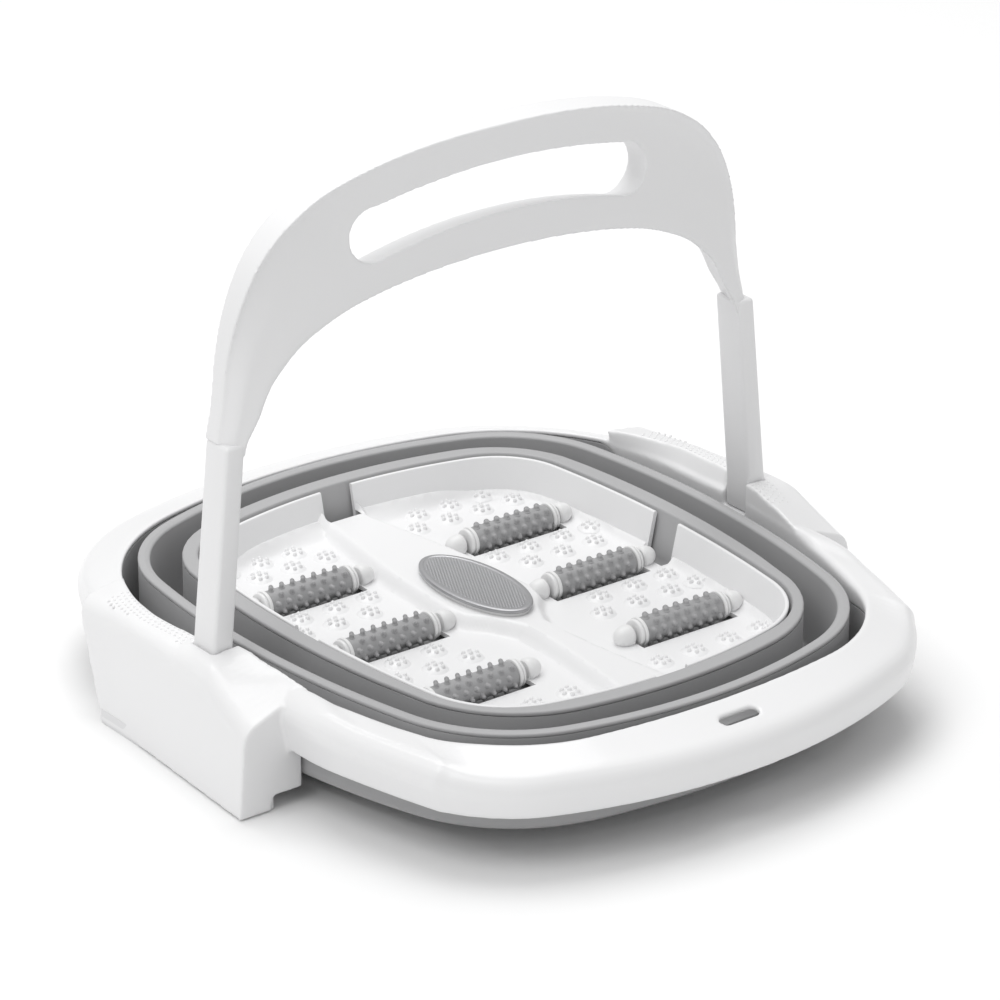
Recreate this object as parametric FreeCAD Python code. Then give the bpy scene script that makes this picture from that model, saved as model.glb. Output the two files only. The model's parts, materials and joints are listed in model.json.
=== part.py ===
"""Collapsible foot bath with a massage tray, six studded rollers and a lift-out carry handle.

Millimetres, +Z up. The origin is on the floor under the middle of the bath. +X points to the
user's right-hand side block, -Y to the end with the hanging slot. The bath is folded flat.
Every ring of the bath is one Outline: two long side arcs, two end arcs and four corner arcs.
"""
import FreeCAD
import Part
import math
import os
from collections import namedtuple

Vector = FreeCAD.Vector

# ---------------------------------------------------------------- driving dimensions
SKIN = 2.5                # wall of the moulded plastic parts
SOFT = 2.0                # wall of the soft folding parts
GAP = 0.4                 # clearance between parts that slide past each other
SEAT = 0.2                # clearance between parts that are fixed to each other

RIM_Z = 60.0              # inner edge of the rim, folded flat
SHOULDER_Z = 52.0         # where the sloping rim top turns into the skirt
SHOULDER_OUT = 1.5        # how far the skirt leans out on its way up to the shoulder
SKIRT_Z = 31.0            # lower edge of the skirt
CREST_Z = 61.0            # top of both grey crests
FOLD_Z = 12.0             # lowest point of both folds
FLOOR_Z = 38.3            # upper face of the massage tray's floor
TRAY_Z = 60.0             # top edge of the massage tray
LEDGE_Z = 45.5            # raised strip between the two foot areas
PAN_FLOOR_Z = 30.5        # upper face of the grey pan's floor

BLOCK_OUT_X = 196.0       # side block: outer face at the floor
BLOCK_DRAFT = 4.0         # how far the outer face leans in on its way up
BLOCK_IN_X = 175.5        # inner face of the block's inner wall
BLOCK_FRONT_Y = -52.0
BLOCK_BACK_Y = 83.0
BLOCK_END_Y = 106.0       # raised top's back end
BLOCK_TOP_Z = 72.0
BLOCK_FOOT_Z = 8.0        # lower edge of the block's shell
POST_Y = (-36.0, 66.0)    # screw posts inside the block
POST_X = 188.0

LEG_Y = (-4.3, 12.0)      # front and back faces of the handle's legs
LEG_BASE_Z = 57.8
LEG_REF_Z = 66.5          # where the leg leaves the side block
LEG_IN_X = 170.5
LEG_OUT_X = 183.0
LEG_LEAN = 0.096          # inward lean of the inner face, mm per mm of height
LEG_TAPER = 0.106         # inward lean of the outer face
ARCH_Y = (-4.5, 15.5)     # front and back faces of the arch
ARCH_SPLIT_Y = 5.5
ARCH_END_Z = 170.5
ARCH_STEP_Z = 178.0
ARCH_TOP_Z = 311.5
TENON_X = (176.0, 183.0)
TENON_Y = (-3.0, 10.5)
TENON_Z = 12.5

ROLLER_X = 66.5           # middle of a roller, left and right
ROLLER_Y = (75.0, 2.0, -71.0)
ROLLER_Z = 42.0
SLOT_LENGTH = 64.0
SLOT_WIDTH = 22.0
DRUM_LENGTH = 52.0
DRUM_R = 7.2
CORE_R = 4.5
RING_R = 8.2
RING_WIDTH = 4.2
AXLE_R = 1.5
AXLE_RUN = 0.06           # radial running clearance of the hub on its axle
STUD_R = 1.35
STUD_HEIGHT = 2.4
STUD_ROWS = 8
STUDS_IN_ROW = 8

FILE_Y = 18.0             # middle of the oval foot file
FILE_HALF = (20.0, 43.0)

Outline = namedtuple("Outline", "half_x half_y side_r shift front_r back_r corner_front corner_back")
SKIRT = Outline(179, 214, 680, 45, 300, 360, 60, 105)
RIM = Outline(172, 186, 520, 45, 460, 330, 79, 92)
CREST_OUT = Outline(156, 183, 560, 25, 290, 290, 66, 66)
CREST_IN = Outline(134.5, 164, 600, 20, 300, 300, 60, 60)
TRAY = Outline(121.5, 149, 700, 15, 300, 300, 42, 42)


# ---------------------------------------------------------------- ring outlines
def grown(outline, by):
    """The outline parallel to this one, moved outwards by that distance."""
    return Outline(outline.half_x + by, outline.half_y + by, outline.side_r + by, outline.shift,
                   outline.front_r + by, outline.back_r + by,
                   outline.corner_front + by, outline.corner_back + by)


def corner_centre(side_centre, side_r, end_centre, end_r, corner_r, sign_x, sign_y):
    """Centre of the corner arc that is tangent, from inside, to a side arc and an end arc."""
    r1 = side_r - corner_r
    r2 = end_r - corner_r
    line = end_centre - side_centre
    d = line.Length
    along = (r1 * r1 - r2 * r2 + d * d) / (2 * d)
    across = math.sqrt(r1 * r1 - along * along)
    u = line / d
    n = Vector(-u.y, u.x, 0)
    for sign in (1, -1):
        p = side_centre + u * along + n * (across * sign)
        if p.x * sign_x > 0 and p.y * sign_y > 0:
            return p
    raise ValueError("the corner arc fits neither side")


def touch(centre, radius, toward):
    """The point of a circle in the direction of another centre, away from this one."""
    d = toward - centre
    return centre + d / d.Length * radius


def arc(centre, start, end):
    """The short arc about centre from start to end."""
    radius = (start - centre).Length
    half = (start - centre) + (end - centre)
    return Part.Arc(start, centre + half / half.Length * radius, end).toShape()


def loop(outline, z):
    """The closed wire of an outline at a height."""
    o = outline
    side = {s: Vector(s * (o.half_x - o.side_r), o.shift, 0) for s in (1, -1)}
    end = {1: Vector(0, o.half_y - o.back_r, 0), -1: Vector(0, o.front_r - o.half_y, 0)}
    end_r = {1: o.back_r, -1: o.front_r}
    corner_r = {1: o.corner_back, -1: o.corner_front}
    centre = {}
    on_side = {}
    on_end = {}
    for sx in (1, -1):
        for sy in (1, -1):
            c = corner_centre(side[sx], o.side_r, end[sy], end_r[sy], corner_r[sy], sx, sy)
            centre[sx, sy] = c
            on_side[sx, sy] = touch(side[sx], o.side_r, c)
            on_end[sx, sy] = touch(end[sy], end_r[sy], c)
    edges = [arc(side[1], on_side[1, -1], on_side[1, 1]),
             arc(centre[1, 1], on_side[1, 1], on_end[1, 1]),
             arc(end[1], on_end[1, 1], on_end[-1, 1]),
             arc(centre[-1, 1], on_end[-1, 1], on_side[-1, 1]),
             arc(side[-1], on_side[-1, 1], on_side[-1, -1]),
             arc(centre[-1, -1], on_side[-1, -1], on_end[-1, -1]),
             arc(end[-1], on_end[-1, -1], on_end[1, -1]),
             arc(centre[1, -1], on_end[1, -1], on_side[1, -1])]
    wire = Part.Wire(edges)
    wire.translate(Vector(0, 0, z))
    return wire


def slab(outline, z0, z1):
    """The outline's whole area between two heights."""
    return Part.Face(loop(outline, z0)).extrude(Vector(0, 0, z1 - z0))


def band(outer, inner, z0, z1):
    """The ring between two outlines, between two heights."""
    return slab(outer, z0, z1).cut(slab(inner, z0, z1))


def taper(low, z0, high, z1):
    """A solid whose outline changes evenly from one height to another."""
    return Part.makeLoft([loop(low, z0), loop(high, z1)], True, True)


# ---------------------------------------------------------------- small shapes
def box(x, y, z):
    """A block between pairs of limits."""
    x0, x1 = sorted(x)
    return Part.makeBox(x1 - x0, y[1] - y[0], z[1] - z[0], Vector(x0, y[0], z[0]))


def upright(x, y, radius, z0, z1):
    """A vertical cylinder."""
    return Part.makeCylinder(radius, z1 - z0, Vector(x, y, z0))


def prism(points, direction):
    """A polygon pushed along a direction."""
    return Part.Face(Part.makePolygon(points + points[:1])).extrude(direction)


def join(shapes):
    """One solid out of several that touch."""
    first, *rest = shapes
    return first.multiFuse(rest).removeSplitter() if rest else first


def mirrored(shape):
    """The same shape on the other side of the bath."""
    return shape.mirror(Vector(0, 0, 0), Vector(1, 0, 0))


def oval(half, z0, z1):
    """An elliptical plate about the foot file's middle."""
    curve = Part.Ellipse(Vector(0, FILE_Y + half[1], z0), Vector(half[0], FILE_Y, z0), Vector(0, FILE_Y, z0))
    return Part.Face(Part.Wire([curve.toShape()])).extrude(Vector(0, 0, z1 - z0))


def screw_up(x, y, z_head, head_r, head_h, shank_r, length):
    """A screw that is driven upwards."""
    head = upright(x, y, head_r, z_head, z_head + head_h)
    return head.fuse(upright(x, y, shank_r, z_head + head_h, z_head + head_h + length)).removeSplitter()


# ---------------------------------------------------------------- base
FOOT_AT = [(sx * 82.0, sy * 104.0) for sx in (1, -1) for sy in (1, -1)]
BASE_SCREW_AT = [(sx * 60.0, sy * 118.0) for sx in (1, -1) for sy in (1, -1)]
BASE_PLATE_Z = (2.0, 4.5)
FOOT_R = 9.0
SCREW_R = 1.45
SCREW_HEAD_R = 2.9
POST_R = 4.2


def base_pan():
    """Grey pan: floor, inner wall with its crest, and the pedestal it stands on."""
    floor_in = grown(TRAY, -4.4)
    lip_in = grown(TRAY, 1.7)
    wall = taper(grown(floor_in, SKIN), PAN_FLOOR_Z - SKIN, grown(lip_in, SKIN), CREST_Z)
    crest = slab(CREST_IN, CREST_Z - SKIN, CREST_Z)
    hollow = taper(floor_in, PAN_FLOOR_Z, lip_in, CREST_Z)
    pedestal = band(grown(TRAY, -6.0), grown(TRAY, -6.0 - SKIN), BASE_PLATE_Z[1], PAN_FLOOR_Z - 1)
    posts = [upright(x, y, POST_R, BASE_PLATE_Z[1], PAN_FLOOR_Z - 1) for x, y in BASE_SCREW_AT]
    pan = join([wall.fuse(crest).cut(hollow), pedestal] + posts)
    for x, y in BASE_SCREW_AT:
        pan = pan.cut(upright(x, y, SCREW_R, BASE_PLATE_Z[1] - 1, PAN_FLOOR_Z - 6))
    return pan


def base_plate():
    """Dark bottom plate of the pedestal."""
    plate = slab(grown(TRAY, -6.0), *BASE_PLATE_Z)
    for x, y in BASE_SCREW_AT:
        plate = plate.cut(upright(x, y, SCREW_R + SEAT, 0, BASE_PLATE_Z[1] + 1))
    return plate


def base_screws():
    """Four screws between the bottom plate and the pan."""
    head_h = 1.5
    return [screw_up(x, y, BASE_PLATE_Z[0] - head_h, SCREW_HEAD_R, head_h, SCREW_R, 16.0) for x, y in BASE_SCREW_AT]


def rubber_feet():
    """Four round feet."""
    return [upright(x, y, FOOT_R, 0, BASE_PLATE_Z[0]) for x, y in FOOT_AT]


def web(crest):
    """Soft wall below the outer edge of a crest, folded down."""
    return band(crest, grown(crest, -SOFT), FOLD_Z, CREST_Z - SKIN - SEAT)


# ---------------------------------------------------------------- middle ring
def middle_ring():
    """Outer crest, the wall under its inner edge and the foot of that wall."""
    inner = grown(CREST_OUT, -10.0)
    crest = band(CREST_OUT, inner, CREST_Z - SKIN, CREST_Z)
    wall = band(grown(inner, SKIN), inner, FOLD_Z, CREST_Z - 1)
    foot = band(grown(inner, 1), grown(CREST_IN, GAP), FOLD_Z, FOLD_Z + SKIN)
    return join([crest, wall, foot])


# ---------------------------------------------------------------- rim
def rim_liner():
    """Grey wall that hangs from the rim's inner edge, with the outermost fold."""
    outer = grown(RIM, SEAT + SOFT)
    wall = band(outer, grown(RIM, SEAT), FOLD_Z, RIM_Z - SKIN - SEAT)
    foot = band(grown(RIM, 1), grown(CREST_OUT, GAP), FOLD_Z, FOLD_Z + SKIN)
    return join([wall, foot])


def clamp_strips():
    """White strips, front and back, that grip the liner's top edge against the rim."""
    hoop = band(grown(RIM, 4.6), grown(RIM, SEAT + SOFT), 47.0, 52.0)
    for side in ((130, 200), (-200, -130)):
        hoop = hoop.cut(box(side, (BLOCK_FRONT_Y - 4, BLOCK_END_Y + 4), (40, 60)))
    return hoop.Solids


def block_body(inset):
    """Side block on the right: side profile and cross section, both drawn smaller by inset."""
    front = BLOCK_FRONT_Y + inset
    back = BLOCK_BACK_Y - inset
    end = BLOCK_END_Y - inset
    top = BLOCK_TOP_Z - inset
    profile = [(front, BLOCK_FOOT_Z), (back, BLOCK_FOOT_Z), (end - 2, SHOULDER_Z), (end, top),
               (12, top), (-22, 66 - inset), (front, 59 - inset)]
    long_way = prism([Vector(BLOCK_IN_X - 12, y, z) for y, z in profile], Vector(40, 0, 0))
    outer = BLOCK_OUT_X - inset
    section = [(BLOCK_IN_X - 12, 0), (outer, 0), (outer - BLOCK_DRAFT, top), (BLOCK_IN_X - 12, top)]
    cross_way = prism([Vector(x, -200, z) for x, z in section], Vector(0, 400, 0))
    return long_way.common(cross_way)


def leg_pocket():
    """Opening in the top of the right side block for the handle's leg."""
    return box((165, LEG_OUT_X + SEAT), (LEG_Y[0] - SEAT, LEG_Y[1] + SEAT), (LEG_BASE_Z - 7, 90))


def rim():
    """White rim moulding: sloping top, skirt, two hollow side blocks and the hanging slot."""
    shoulder = grown(SKIRT, SHOULDER_OUT)
    outside = taper(SKIRT, SKIRT_Z, shoulder, SHOULDER_Z).fuse(taper(shoulder, SHOULDER_Z, RIM, RIM_Z))
    shoulder_in = grown(shoulder, -SKIN)
    inside = taper(grown(SKIRT, -SKIN), SKIRT_Z, shoulder_in, SHOULDER_Z - 2).fuse(
        taper(shoulder_in, SHOULDER_Z - 2, grown(RIM, SKIN), RIM_Z - SKIN))
    right_out = block_body(0).cut(slab(grown(RIM, 3.2), 0, RIM_Z - SKIN)).cut(slab(RIM, 0, 90))
    right_in = block_body(SKIN).cut(slab(grown(RIM, 6.0), 0, 90))
    right_in = right_in.fuse(right_in.translated(Vector(0, 0, -SKIN)))
    posts = [upright(POST_X, y, POST_R, 11.0, 60.0) for y in POST_Y]
    body = outside.fuse([right_out, mirrored(right_out)])
    body = body.cut(inside).cut(slab(RIM, 0, 90)).cut(right_in).cut(mirrored(right_in))
    for post in posts:
        body = body.fuse([post, mirrored(post)])
    for x_sign in (1, -1):
        for y in POST_Y:
            body = body.cut(upright(x_sign * POST_X, y, SCREW_R, 10, 28))
    pocket = leg_pocket().fuse(socket_envelope())
    body = body.cut(pocket).cut(mirrored(pocket)).cut(hanging_slot())
    return body.removeSplitter()


def hanging_slot():
    """Small oblong hole through the rim's top at the front."""
    half_length = 9.0
    radius = 3.2
    y = -199.0
    slot = box((-half_length, half_length), (y - radius, y + radius), (45, 70))
    return slot.fuse([upright(-half_length, y, radius, 45, 70), upright(half_length, y, radius, 45, 70)])


SOCKET_X = (TENON_X[0] - GAP - SOFT, TENON_X[1] + GAP + SOFT)
SOCKET_Y = (TENON_Y[0] - GAP - SOFT, TENON_Y[1] + GAP + SOFT)
SOCKET_Z = (11.0, LEG_BASE_Z - 0.5)


def socket_envelope():
    """Room that the right socket needs inside the side block."""
    grow = 0.3
    return box((SOCKET_X[0] - 3, SOCKET_X[1] + grow), (SOCKET_Y[0] - grow, SOCKET_Y[1] + grow),
               (0, SOCKET_Z[1] + grow))


def handle_socket():
    """Open-topped tube that takes the right leg's tenon, with a window for the detent spring."""
    shell = box(SOCKET_X, SOCKET_Y, SOCKET_Z)
    well = box((TENON_X[0] - GAP, TENON_X[1] + GAP), (TENON_Y[0] - GAP, TENON_Y[1] + GAP),
               (SOCKET_Z[0] + 1.2, SOCKET_Z[1] + 1))
    window = box((TENON_X[1], SOCKET_X[1] + 1), (0.0, 8.0), (31.0, 39.0))
    return shell.cut(well).cut(window)


def detent_spring():
    """Leaf spring outside the right socket; its nose reaches in through the window."""
    leaf = box((SOCKET_X[1] + 0.4, SOCKET_X[1] + 1.2), (0.5, 7.5), (16.0, 52.0))
    nose = prism([Vector(SOCKET_X[1] + 0.5, 0.5, 32.0), Vector(TENON_X[1] + GAP, 0.5, 35.0),
                  Vector(SOCKET_X[1] + 0.5, 0.5, 38.0)], Vector(0, 7.0, 0))
    return leaf.fuse(nose).removeSplitter()


COVER_RAIL_X = 181.0      # inner side of the foot rail


def block_cover():
    """Bottom cover of the right side block, with the rail that the block stands on."""
    rail = box((COVER_RAIL_X, BLOCK_OUT_X), (BLOCK_FRONT_Y, BLOCK_BACK_Y), (0, BLOCK_FOOT_Z - SEAT))
    plate_y = (BLOCK_FRONT_Y + SKIN + SEAT, BLOCK_BACK_Y - SKIN - SEAT)
    plate = box((BLOCK_IN_X + SKIN + 1, BLOCK_OUT_X - SKIN - 1), plate_y, (BLOCK_FOOT_Z - 2, BLOCK_FOOT_Z + 2.6))
    cover = rail.fuse(plate).removeSplitter()
    for y in POST_Y:
        cover = cover.cut(upright(POST_X, y, SCREW_HEAD_R + SEAT, -1, 5))
        cover = cover.cut(upright(POST_X, y, SCREW_R + SEAT, -1, 20))
    return cover


def cover_screws():
    """Two screws in each bottom cover."""
    return [screw_up(sx * POST_X, y, 3.0, SCREW_HEAD_R, 2.0, SCREW_R, 19.0) for sx in (1, -1) for y in POST_Y]


# ---------------------------------------------------------------- handle
def leg_x(z):
    """Inner and outer face of the right leg at a height."""
    up = z - LEG_REF_Z
    return LEG_IN_X - LEG_LEAN * up, LEG_OUT_X - LEG_TAPER * up


def handle_leg():
    """Right leg: leaning bar, the tongue inside the arch and the tenon inside the side block."""
    low = leg_x(LEG_REF_Z)
    high = leg_x(ARCH_END_Z)
    bar = prism([Vector(low[0], LEG_Y[0], LEG_BASE_Z), Vector(low[1], LEG_Y[0], LEG_BASE_Z),
                 Vector(low[1], LEG_Y[0], LEG_REF_Z), Vector(high[1], LEG_Y[0], ARCH_END_Z - SEAT),
                 Vector(high[0], LEG_Y[0], ARCH_END_Z - SEAT), Vector(low[0], LEG_Y[0], LEG_REF_Z)],
                Vector(0, LEG_Y[1] - LEG_Y[0], 0))
    tongue_y = (ARCH_Y[0] + SKIN + SEAT, ARCH_Y[1] - SKIN - SEAT)
    tongue = prism([Vector(164.4, tongue_y[0], ARCH_END_Z - 1), Vector(171.4, tongue_y[0], ARCH_END_Z - 1),
                    Vector(165.4, tongue_y[0], 200.0), Vector(158.6, tongue_y[0], 200.0)],
                   Vector(0, tongue_y[1] - tongue_y[0], 0))
    tongue = tongue.cut(box((150, 180), (LEG_Y[1] - 0.01, 20), (0, ARCH_END_Z)))
    tenon = box(TENON_X, TENON_Y, (TENON_Z, LEG_BASE_Z + 1))
    leg = join([bar, tongue, tenon])
    return leg.cut(drill_back(LEG_SCREW_AT[0], SCREW_R, 3.0))


def tangent_arc(before, vertex, after, radius):
    """Start, middle and end of the arc that rounds a vertex."""
    a = (before - vertex).normalize()
    b = (after - vertex).normalize()
    half = math.acos(max(-1.0, min(1.0, a.dot(b)))) / 2
    reach = radius / math.tan(half)
    middle = (a + b).normalize()
    return vertex + a * reach, vertex + middle * (radius / math.sin(half) - radius), vertex + b * reach


def arch_profile(inset, y):
    """The arch's outline in the plane of the handle, drawn smaller by inset."""
    low_out = Vector(177.0 - inset, y, ARCH_END_Z + inset)
    side_out = Vector(137.5 - 1.15 * inset, y, 297.5 - 1.1 * inset)
    top_out = Vector(0, y, ARCH_TOP_Z - inset)
    low_in = Vector(161.0 + inset, y, ARCH_END_Z + inset)
    side_in = Vector(153.5 + 1.15 * inset, y, 219.0 + 1.1 * inset)
    top_in = Vector(0, y, 245.5 + inset)
    out_slope = Vector(-1, 0, 0.165)
    in_slope = Vector(-1, 0, 0.23)
    o1, o2, o3 = tangent_arc(low_out, side_out, side_out + out_slope, 60.0 - inset)
    i1, i2, i3 = tangent_arc(low_in, side_in, side_in + in_slope, 70.0 + inset)

    def flip(p):
        return Vector(-p.x, p.y, p.z)

    edges = [Part.LineSegment(low_out, o1), Part.Arc(o1, o2, o3), Part.Arc(o3, top_out, flip(o3)),
             Part.Arc(flip(o3), flip(o2), flip(o1)), Part.LineSegment(flip(o1), flip(low_out)),
             Part.LineSegment(flip(low_out), flip(low_in)), Part.LineSegment(flip(low_in), flip(i1)),
             Part.Arc(flip(i1), flip(i2), flip(i3)), Part.Arc(flip(i3), top_in, i3),
             Part.Arc(i3, i2, i1), Part.LineSegment(i1, low_in), Part.LineSegment(low_in, low_out)]
    return Part.Face(Part.Wire([e.toShape() for e in edges]))


GRIP_HALF = 78.0          # half the straight length of the grip slot
GRIP_TOP_Z = 292.5
GRIP_LOW_Z = 262.0
GRIP_DROP = 6.6           # how much lower the slot is at its ends


def grip_slot(grow, y0, y1):
    """The curved grip opening between two depths, drawn larger by grow."""
    high = GRIP_TOP_Z + grow
    low = GRIP_LOW_Z - grow
    end_z = (high + low) / 2 - GRIP_DROP
    tip = GRIP_HALF + (high - low) / 2
    ends = [Vector(s * GRIP_HALF, y0, z - GRIP_DROP) for s in (1, -1) for z in (high, low)]
    edges = [Part.Arc(ends[2], Vector(0, y0, high), ends[0]),
             Part.Arc(ends[0], Vector(tip, y0, end_z), ends[1]),
             Part.Arc(ends[1], Vector(0, y0, low), ends[3]),
             Part.Arc(ends[3], Vector(-tip, y0, end_z), ends[2])]
    return Part.Face(Part.Wire([e.toShape() for e in edges])).extrude(Vector(0, y1 - y0, 0))


ARCH_SCREW_AT = [(0.0, 253.5), (112.0, 262.0), (-112.0, 262.0)]
LEG_SCREW_AT = [(164.0, 186.0), (-164.0, 186.0)]
ARCH_SCREW_R = 1.4


def drill_back(at, radius, y_from):
    """A hole bored from the handle's back face to a depth."""
    return Part.makeCylinder(radius, 30.0, Vector(at[0], y_from, at[1]), Vector(0, 1, 0))


def handle_shell(front):
    """Front or rear half of the hollow arch, with the grip slot's walls and the screw posts."""
    y0, y1 = (ARCH_Y[0], ARCH_SPLIT_Y) if front else (ARCH_SPLIT_Y + 0.05, ARCH_Y[1])
    solid = arch_profile(0, y0).extrude(Vector(0, y1 - y0, 0))
    hollow_y = (y0 + SKIN, y1 + 1) if front else (y0 - 1, y1 - SKIN)
    hollow = arch_profile(SKIN, hollow_y[0]).extrude(Vector(0, hollow_y[1] - hollow_y[0], 0))
    throat = box((-180, 180), hollow_y, (ARCH_END_Z - 1, ARCH_END_Z + 6))
    throat = throat.cut(box((-163.7, 163.7), (-50, 50), (0, 400)))
    hollow = hollow.fuse(throat.cut(box((-200, -174.2), (-50, 50), (0, 400))).cut(
        box((174.2, 200), (-50, 50), (0, 400))))
    hollow = hollow.cut(grip_slot(SKIN, y0 - 2, y1 + 2))
    for at in ARCH_SCREW_AT:
        hollow = hollow.cut(Part.makeCylinder(POST_R, y1 - y0, Vector(at[0], y0, at[1]), Vector(0, 1, 0)))
    shell = solid.cut(hollow).cut(grip_slot(0, y0 - 2, y1 + 2))
    step = box((173.6, 190), (-50, 50), (ARCH_END_Z - 1, ARCH_STEP_Z))
    shell = shell.cut(step).cut(mirrored(step)) if front else shell
    for at in ARCH_SCREW_AT:
        if front:
            shell = shell.cut(drill_back(at, ARCH_SCREW_R, y0 + SKIN))
        else:
            shell = shell.cut(drill_back(at, ARCH_SCREW_R + SEAT, y0 - 1))
            shell = shell.cut(drill_back(at, SCREW_HEAD_R + SEAT, ARCH_Y[1] - 2.0))
    if not front:
        for at in LEG_SCREW_AT:
            shell = shell.cut(drill_back(at, SCREW_R + SEAT, y0 - 1))
    return shell.removeSplitter()


def handle_screws():
    """Three screws through the arch and one into each leg's tongue."""
    screws = []
    for at in ARCH_SCREW_AT + LEG_SCREW_AT:
        in_arch = at in ARCH_SCREW_AT
        head_y = ARCH_Y[1] - 1.8 if in_arch else ARCH_Y[1]
        shank_end = 0.0 if in_arch else 4.0
        shank_r = ARCH_SCREW_R if in_arch else SCREW_R
        head = Part.makeCylinder(SCREW_HEAD_R, 1.5, Vector(at[0], head_y, at[1]), Vector(0, 1, 0))
        shank = Part.makeCylinder(shank_r, head_y - shank_end, Vector(at[0], shank_end, at[1]), Vector(0, 1, 0))
        screws.append(head.fuse(shank).removeSplitter())
    return screws


# ---------------------------------------------------------------- massage tray
ROLLER_AT = [(sx * ROLLER_X, y) for sx in (1, -1) for y in ROLLER_Y]
RECESS_IN_X = 25.0        # inner edge of a foot area beside the foot file
WAIST_X = 9.0             # the same in front of the foot file, where the raised strip is narrow
WAIST_Y = -22.0
RECESS_Y = (-140.0, 140.0)
RECESS_R = 24.0
NOTCH_HALF = 9.8
NOTCH_SIDE_Y = 12.0
CRADLE_LENGTH = 9.0
TRAY_LEAN = 5.0           # how far the tray's wall leans in at its foot
CAP_R = 6.8


def foot_area(sign):
    """Room of one foot area above the tray's floor."""
    x0 = RECESS_IN_X
    x1 = 150.0
    y0, y1 = RECESS_Y
    block = box((x0 + RECESS_R, x1), (y0, y1), (FLOOR_Z, 80))
    side = box((x0, x0 + RECESS_R + 1), (y0 + RECESS_R, y1 - RECESS_R), (FLOOR_Z, 80))
    rounds = [upright(x0 + RECESS_R, y, RECESS_R, FLOOR_Z, 80) for y in (y0 + RECESS_R, y1 - RECESS_R)]
    waist = box((WAIST_X, x0 + RECESS_R + 1), (y0 + RECESS_R, WAIST_Y), (FLOOR_Z, 80))
    area = block.fuse([side, waist] + rounds)
    return area if sign > 0 else mirrored(area)


def finger_notches():
    """Four cut-outs in the tray's wall and the floor beside it, to lift it out by."""
    z = (PAN_FLOOR_Z, 80)
    ends = [box((-NOTCH_HALF, NOTCH_HALF), y, z) for y in ((134, 160), (-160, -134))]
    side_y = (NOTCH_SIDE_Y - NOTCH_HALF, NOTCH_SIDE_Y + NOTCH_HALF)
    return ends + [box(x, side_y, z) for x in ((106, 140), (-140, -106))]


def massage_tray():
    """White tray: leaning wall, floor, raised strip, roller slots, notches and short feet."""
    outside = taper(grown(TRAY, -TRAY_LEAN), FLOOR_Z - SKIN, TRAY, TRAY_Z)
    inside = taper(grown(TRAY, -TRAY_LEAN - SKIN + 0.5), FLOOR_Z, grown(TRAY, -SKIN), TRAY_Z)
    ledge = slab(grown(TRAY, -TRAY_LEAN), FLOOR_Z - 1, LEDGE_Z).common(outside)
    tray = outside.cut(inside).fuse(ledge.cut(foot_area(1)).cut(foot_area(-1)))
    underside = slab(grown(TRAY, -TRAY_LEAN - 4), FLOOR_Z - SKIN, LEDGE_Z - SKIN)
    for sign in (1, -1):
        underside = underside.cut(foot_area(sign).translated(Vector(-sign * SKIN, 0, -SKIN * 2)).fuse(
            foot_area(sign).translated(Vector(0, 0, -SKIN * 2))))
    strip = box((-RECESS_IN_X + SKIN, RECESS_IN_X - SKIN), (WAIST_Y + SKIN, 110), (FLOOR_Z - 5, LEDGE_Z - SKIN))
    strip = strip.fuse(box((-WAIST_X + SKIN, WAIST_X - SKIN), (-112, WAIST_Y + 3), (FLOOR_Z - 5, LEDGE_Z - SKIN)))
    tray = tray.cut(strip.common(underside))
    pegs = [upright(sx * x, y, 5.0, PAN_FLOOR_Z + SEAT, FLOOR_Z - 1)
            for sx in (1, -1) for x, y in ((ROLLER_X, 38.5), (ROLLER_X, -34.5), (60.0, 122.0), (60.0, -122.0))]
    tray = tray.fuse(pegs)
    for x, y in ROLLER_AT:
        tray = tray.cut(box((x - SLOT_LENGTH / 2, x + SLOT_LENGTH / 2),
                            (y - SLOT_WIDTH / 2, y + SLOT_WIDTH / 2), (20, 55)))
    for notch in finger_notches():
        tray = tray.cut(notch)
    tray = tray.cut(upright(0, FILE_Y, FILE_PEG_R + GAP, 30, 60))
    return tray.removeSplitter()


def roller_axles():
    """Six steel axles."""
    length = SLOT_LENGTH + 2 * CRADLE_LENGTH - 4
    return [Part.makeCylinder(AXLE_R, length, Vector(x - length / 2, y, ROLLER_Z), Vector(1, 0, 0))
            for x, y in ROLLER_AT]


def axle_caps():
    """Twelve round-topped caps that hold the axle ends down on the tray."""
    caps = []
    for x, y in ROLLER_AT:
        for side in (1, -1):
            start = x + side * (SLOT_LENGTH / 2 + 0.5)
            end = start + side * CRADLE_LENGTH
            round_top = Part.makeCylinder(CAP_R, CRADLE_LENGTH, Vector(min(start, end), y, ROLLER_Z), Vector(1, 0, 0))
            cap = round_top.common(box((start, end), (y - 20, y + 20), (FLOOR_Z, 80)))
            caps.append(cap.cut(Part.makeCylinder(AXLE_R, 200, Vector(x - 100, y, ROLLER_Z), Vector(1, 0, 0))))
    return caps


# ---------------------------------------------------------------- rollers
def roller_hub(x, y):
    """White hub: core with an end ring on each side, bored to run on the axle."""
    half = DRUM_LENGTH / 2
    core = Part.makeCylinder(CORE_R, 2 * half, Vector(x - half, y, ROLLER_Z), Vector(1, 0, 0))
    rings = [Part.makeCylinder(RING_R, RING_WIDTH, Vector(x + at, y, ROLLER_Z), Vector(1, 0, 0))
             for at in (half, -half - RING_WIDTH)]
    bore = Part.makeCylinder(AXLE_R + AXLE_RUN, 200, Vector(x - 100, y, ROLLER_Z), Vector(1, 0, 0))
    return core.fuse(rings).removeSplitter().cut(bore)


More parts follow.
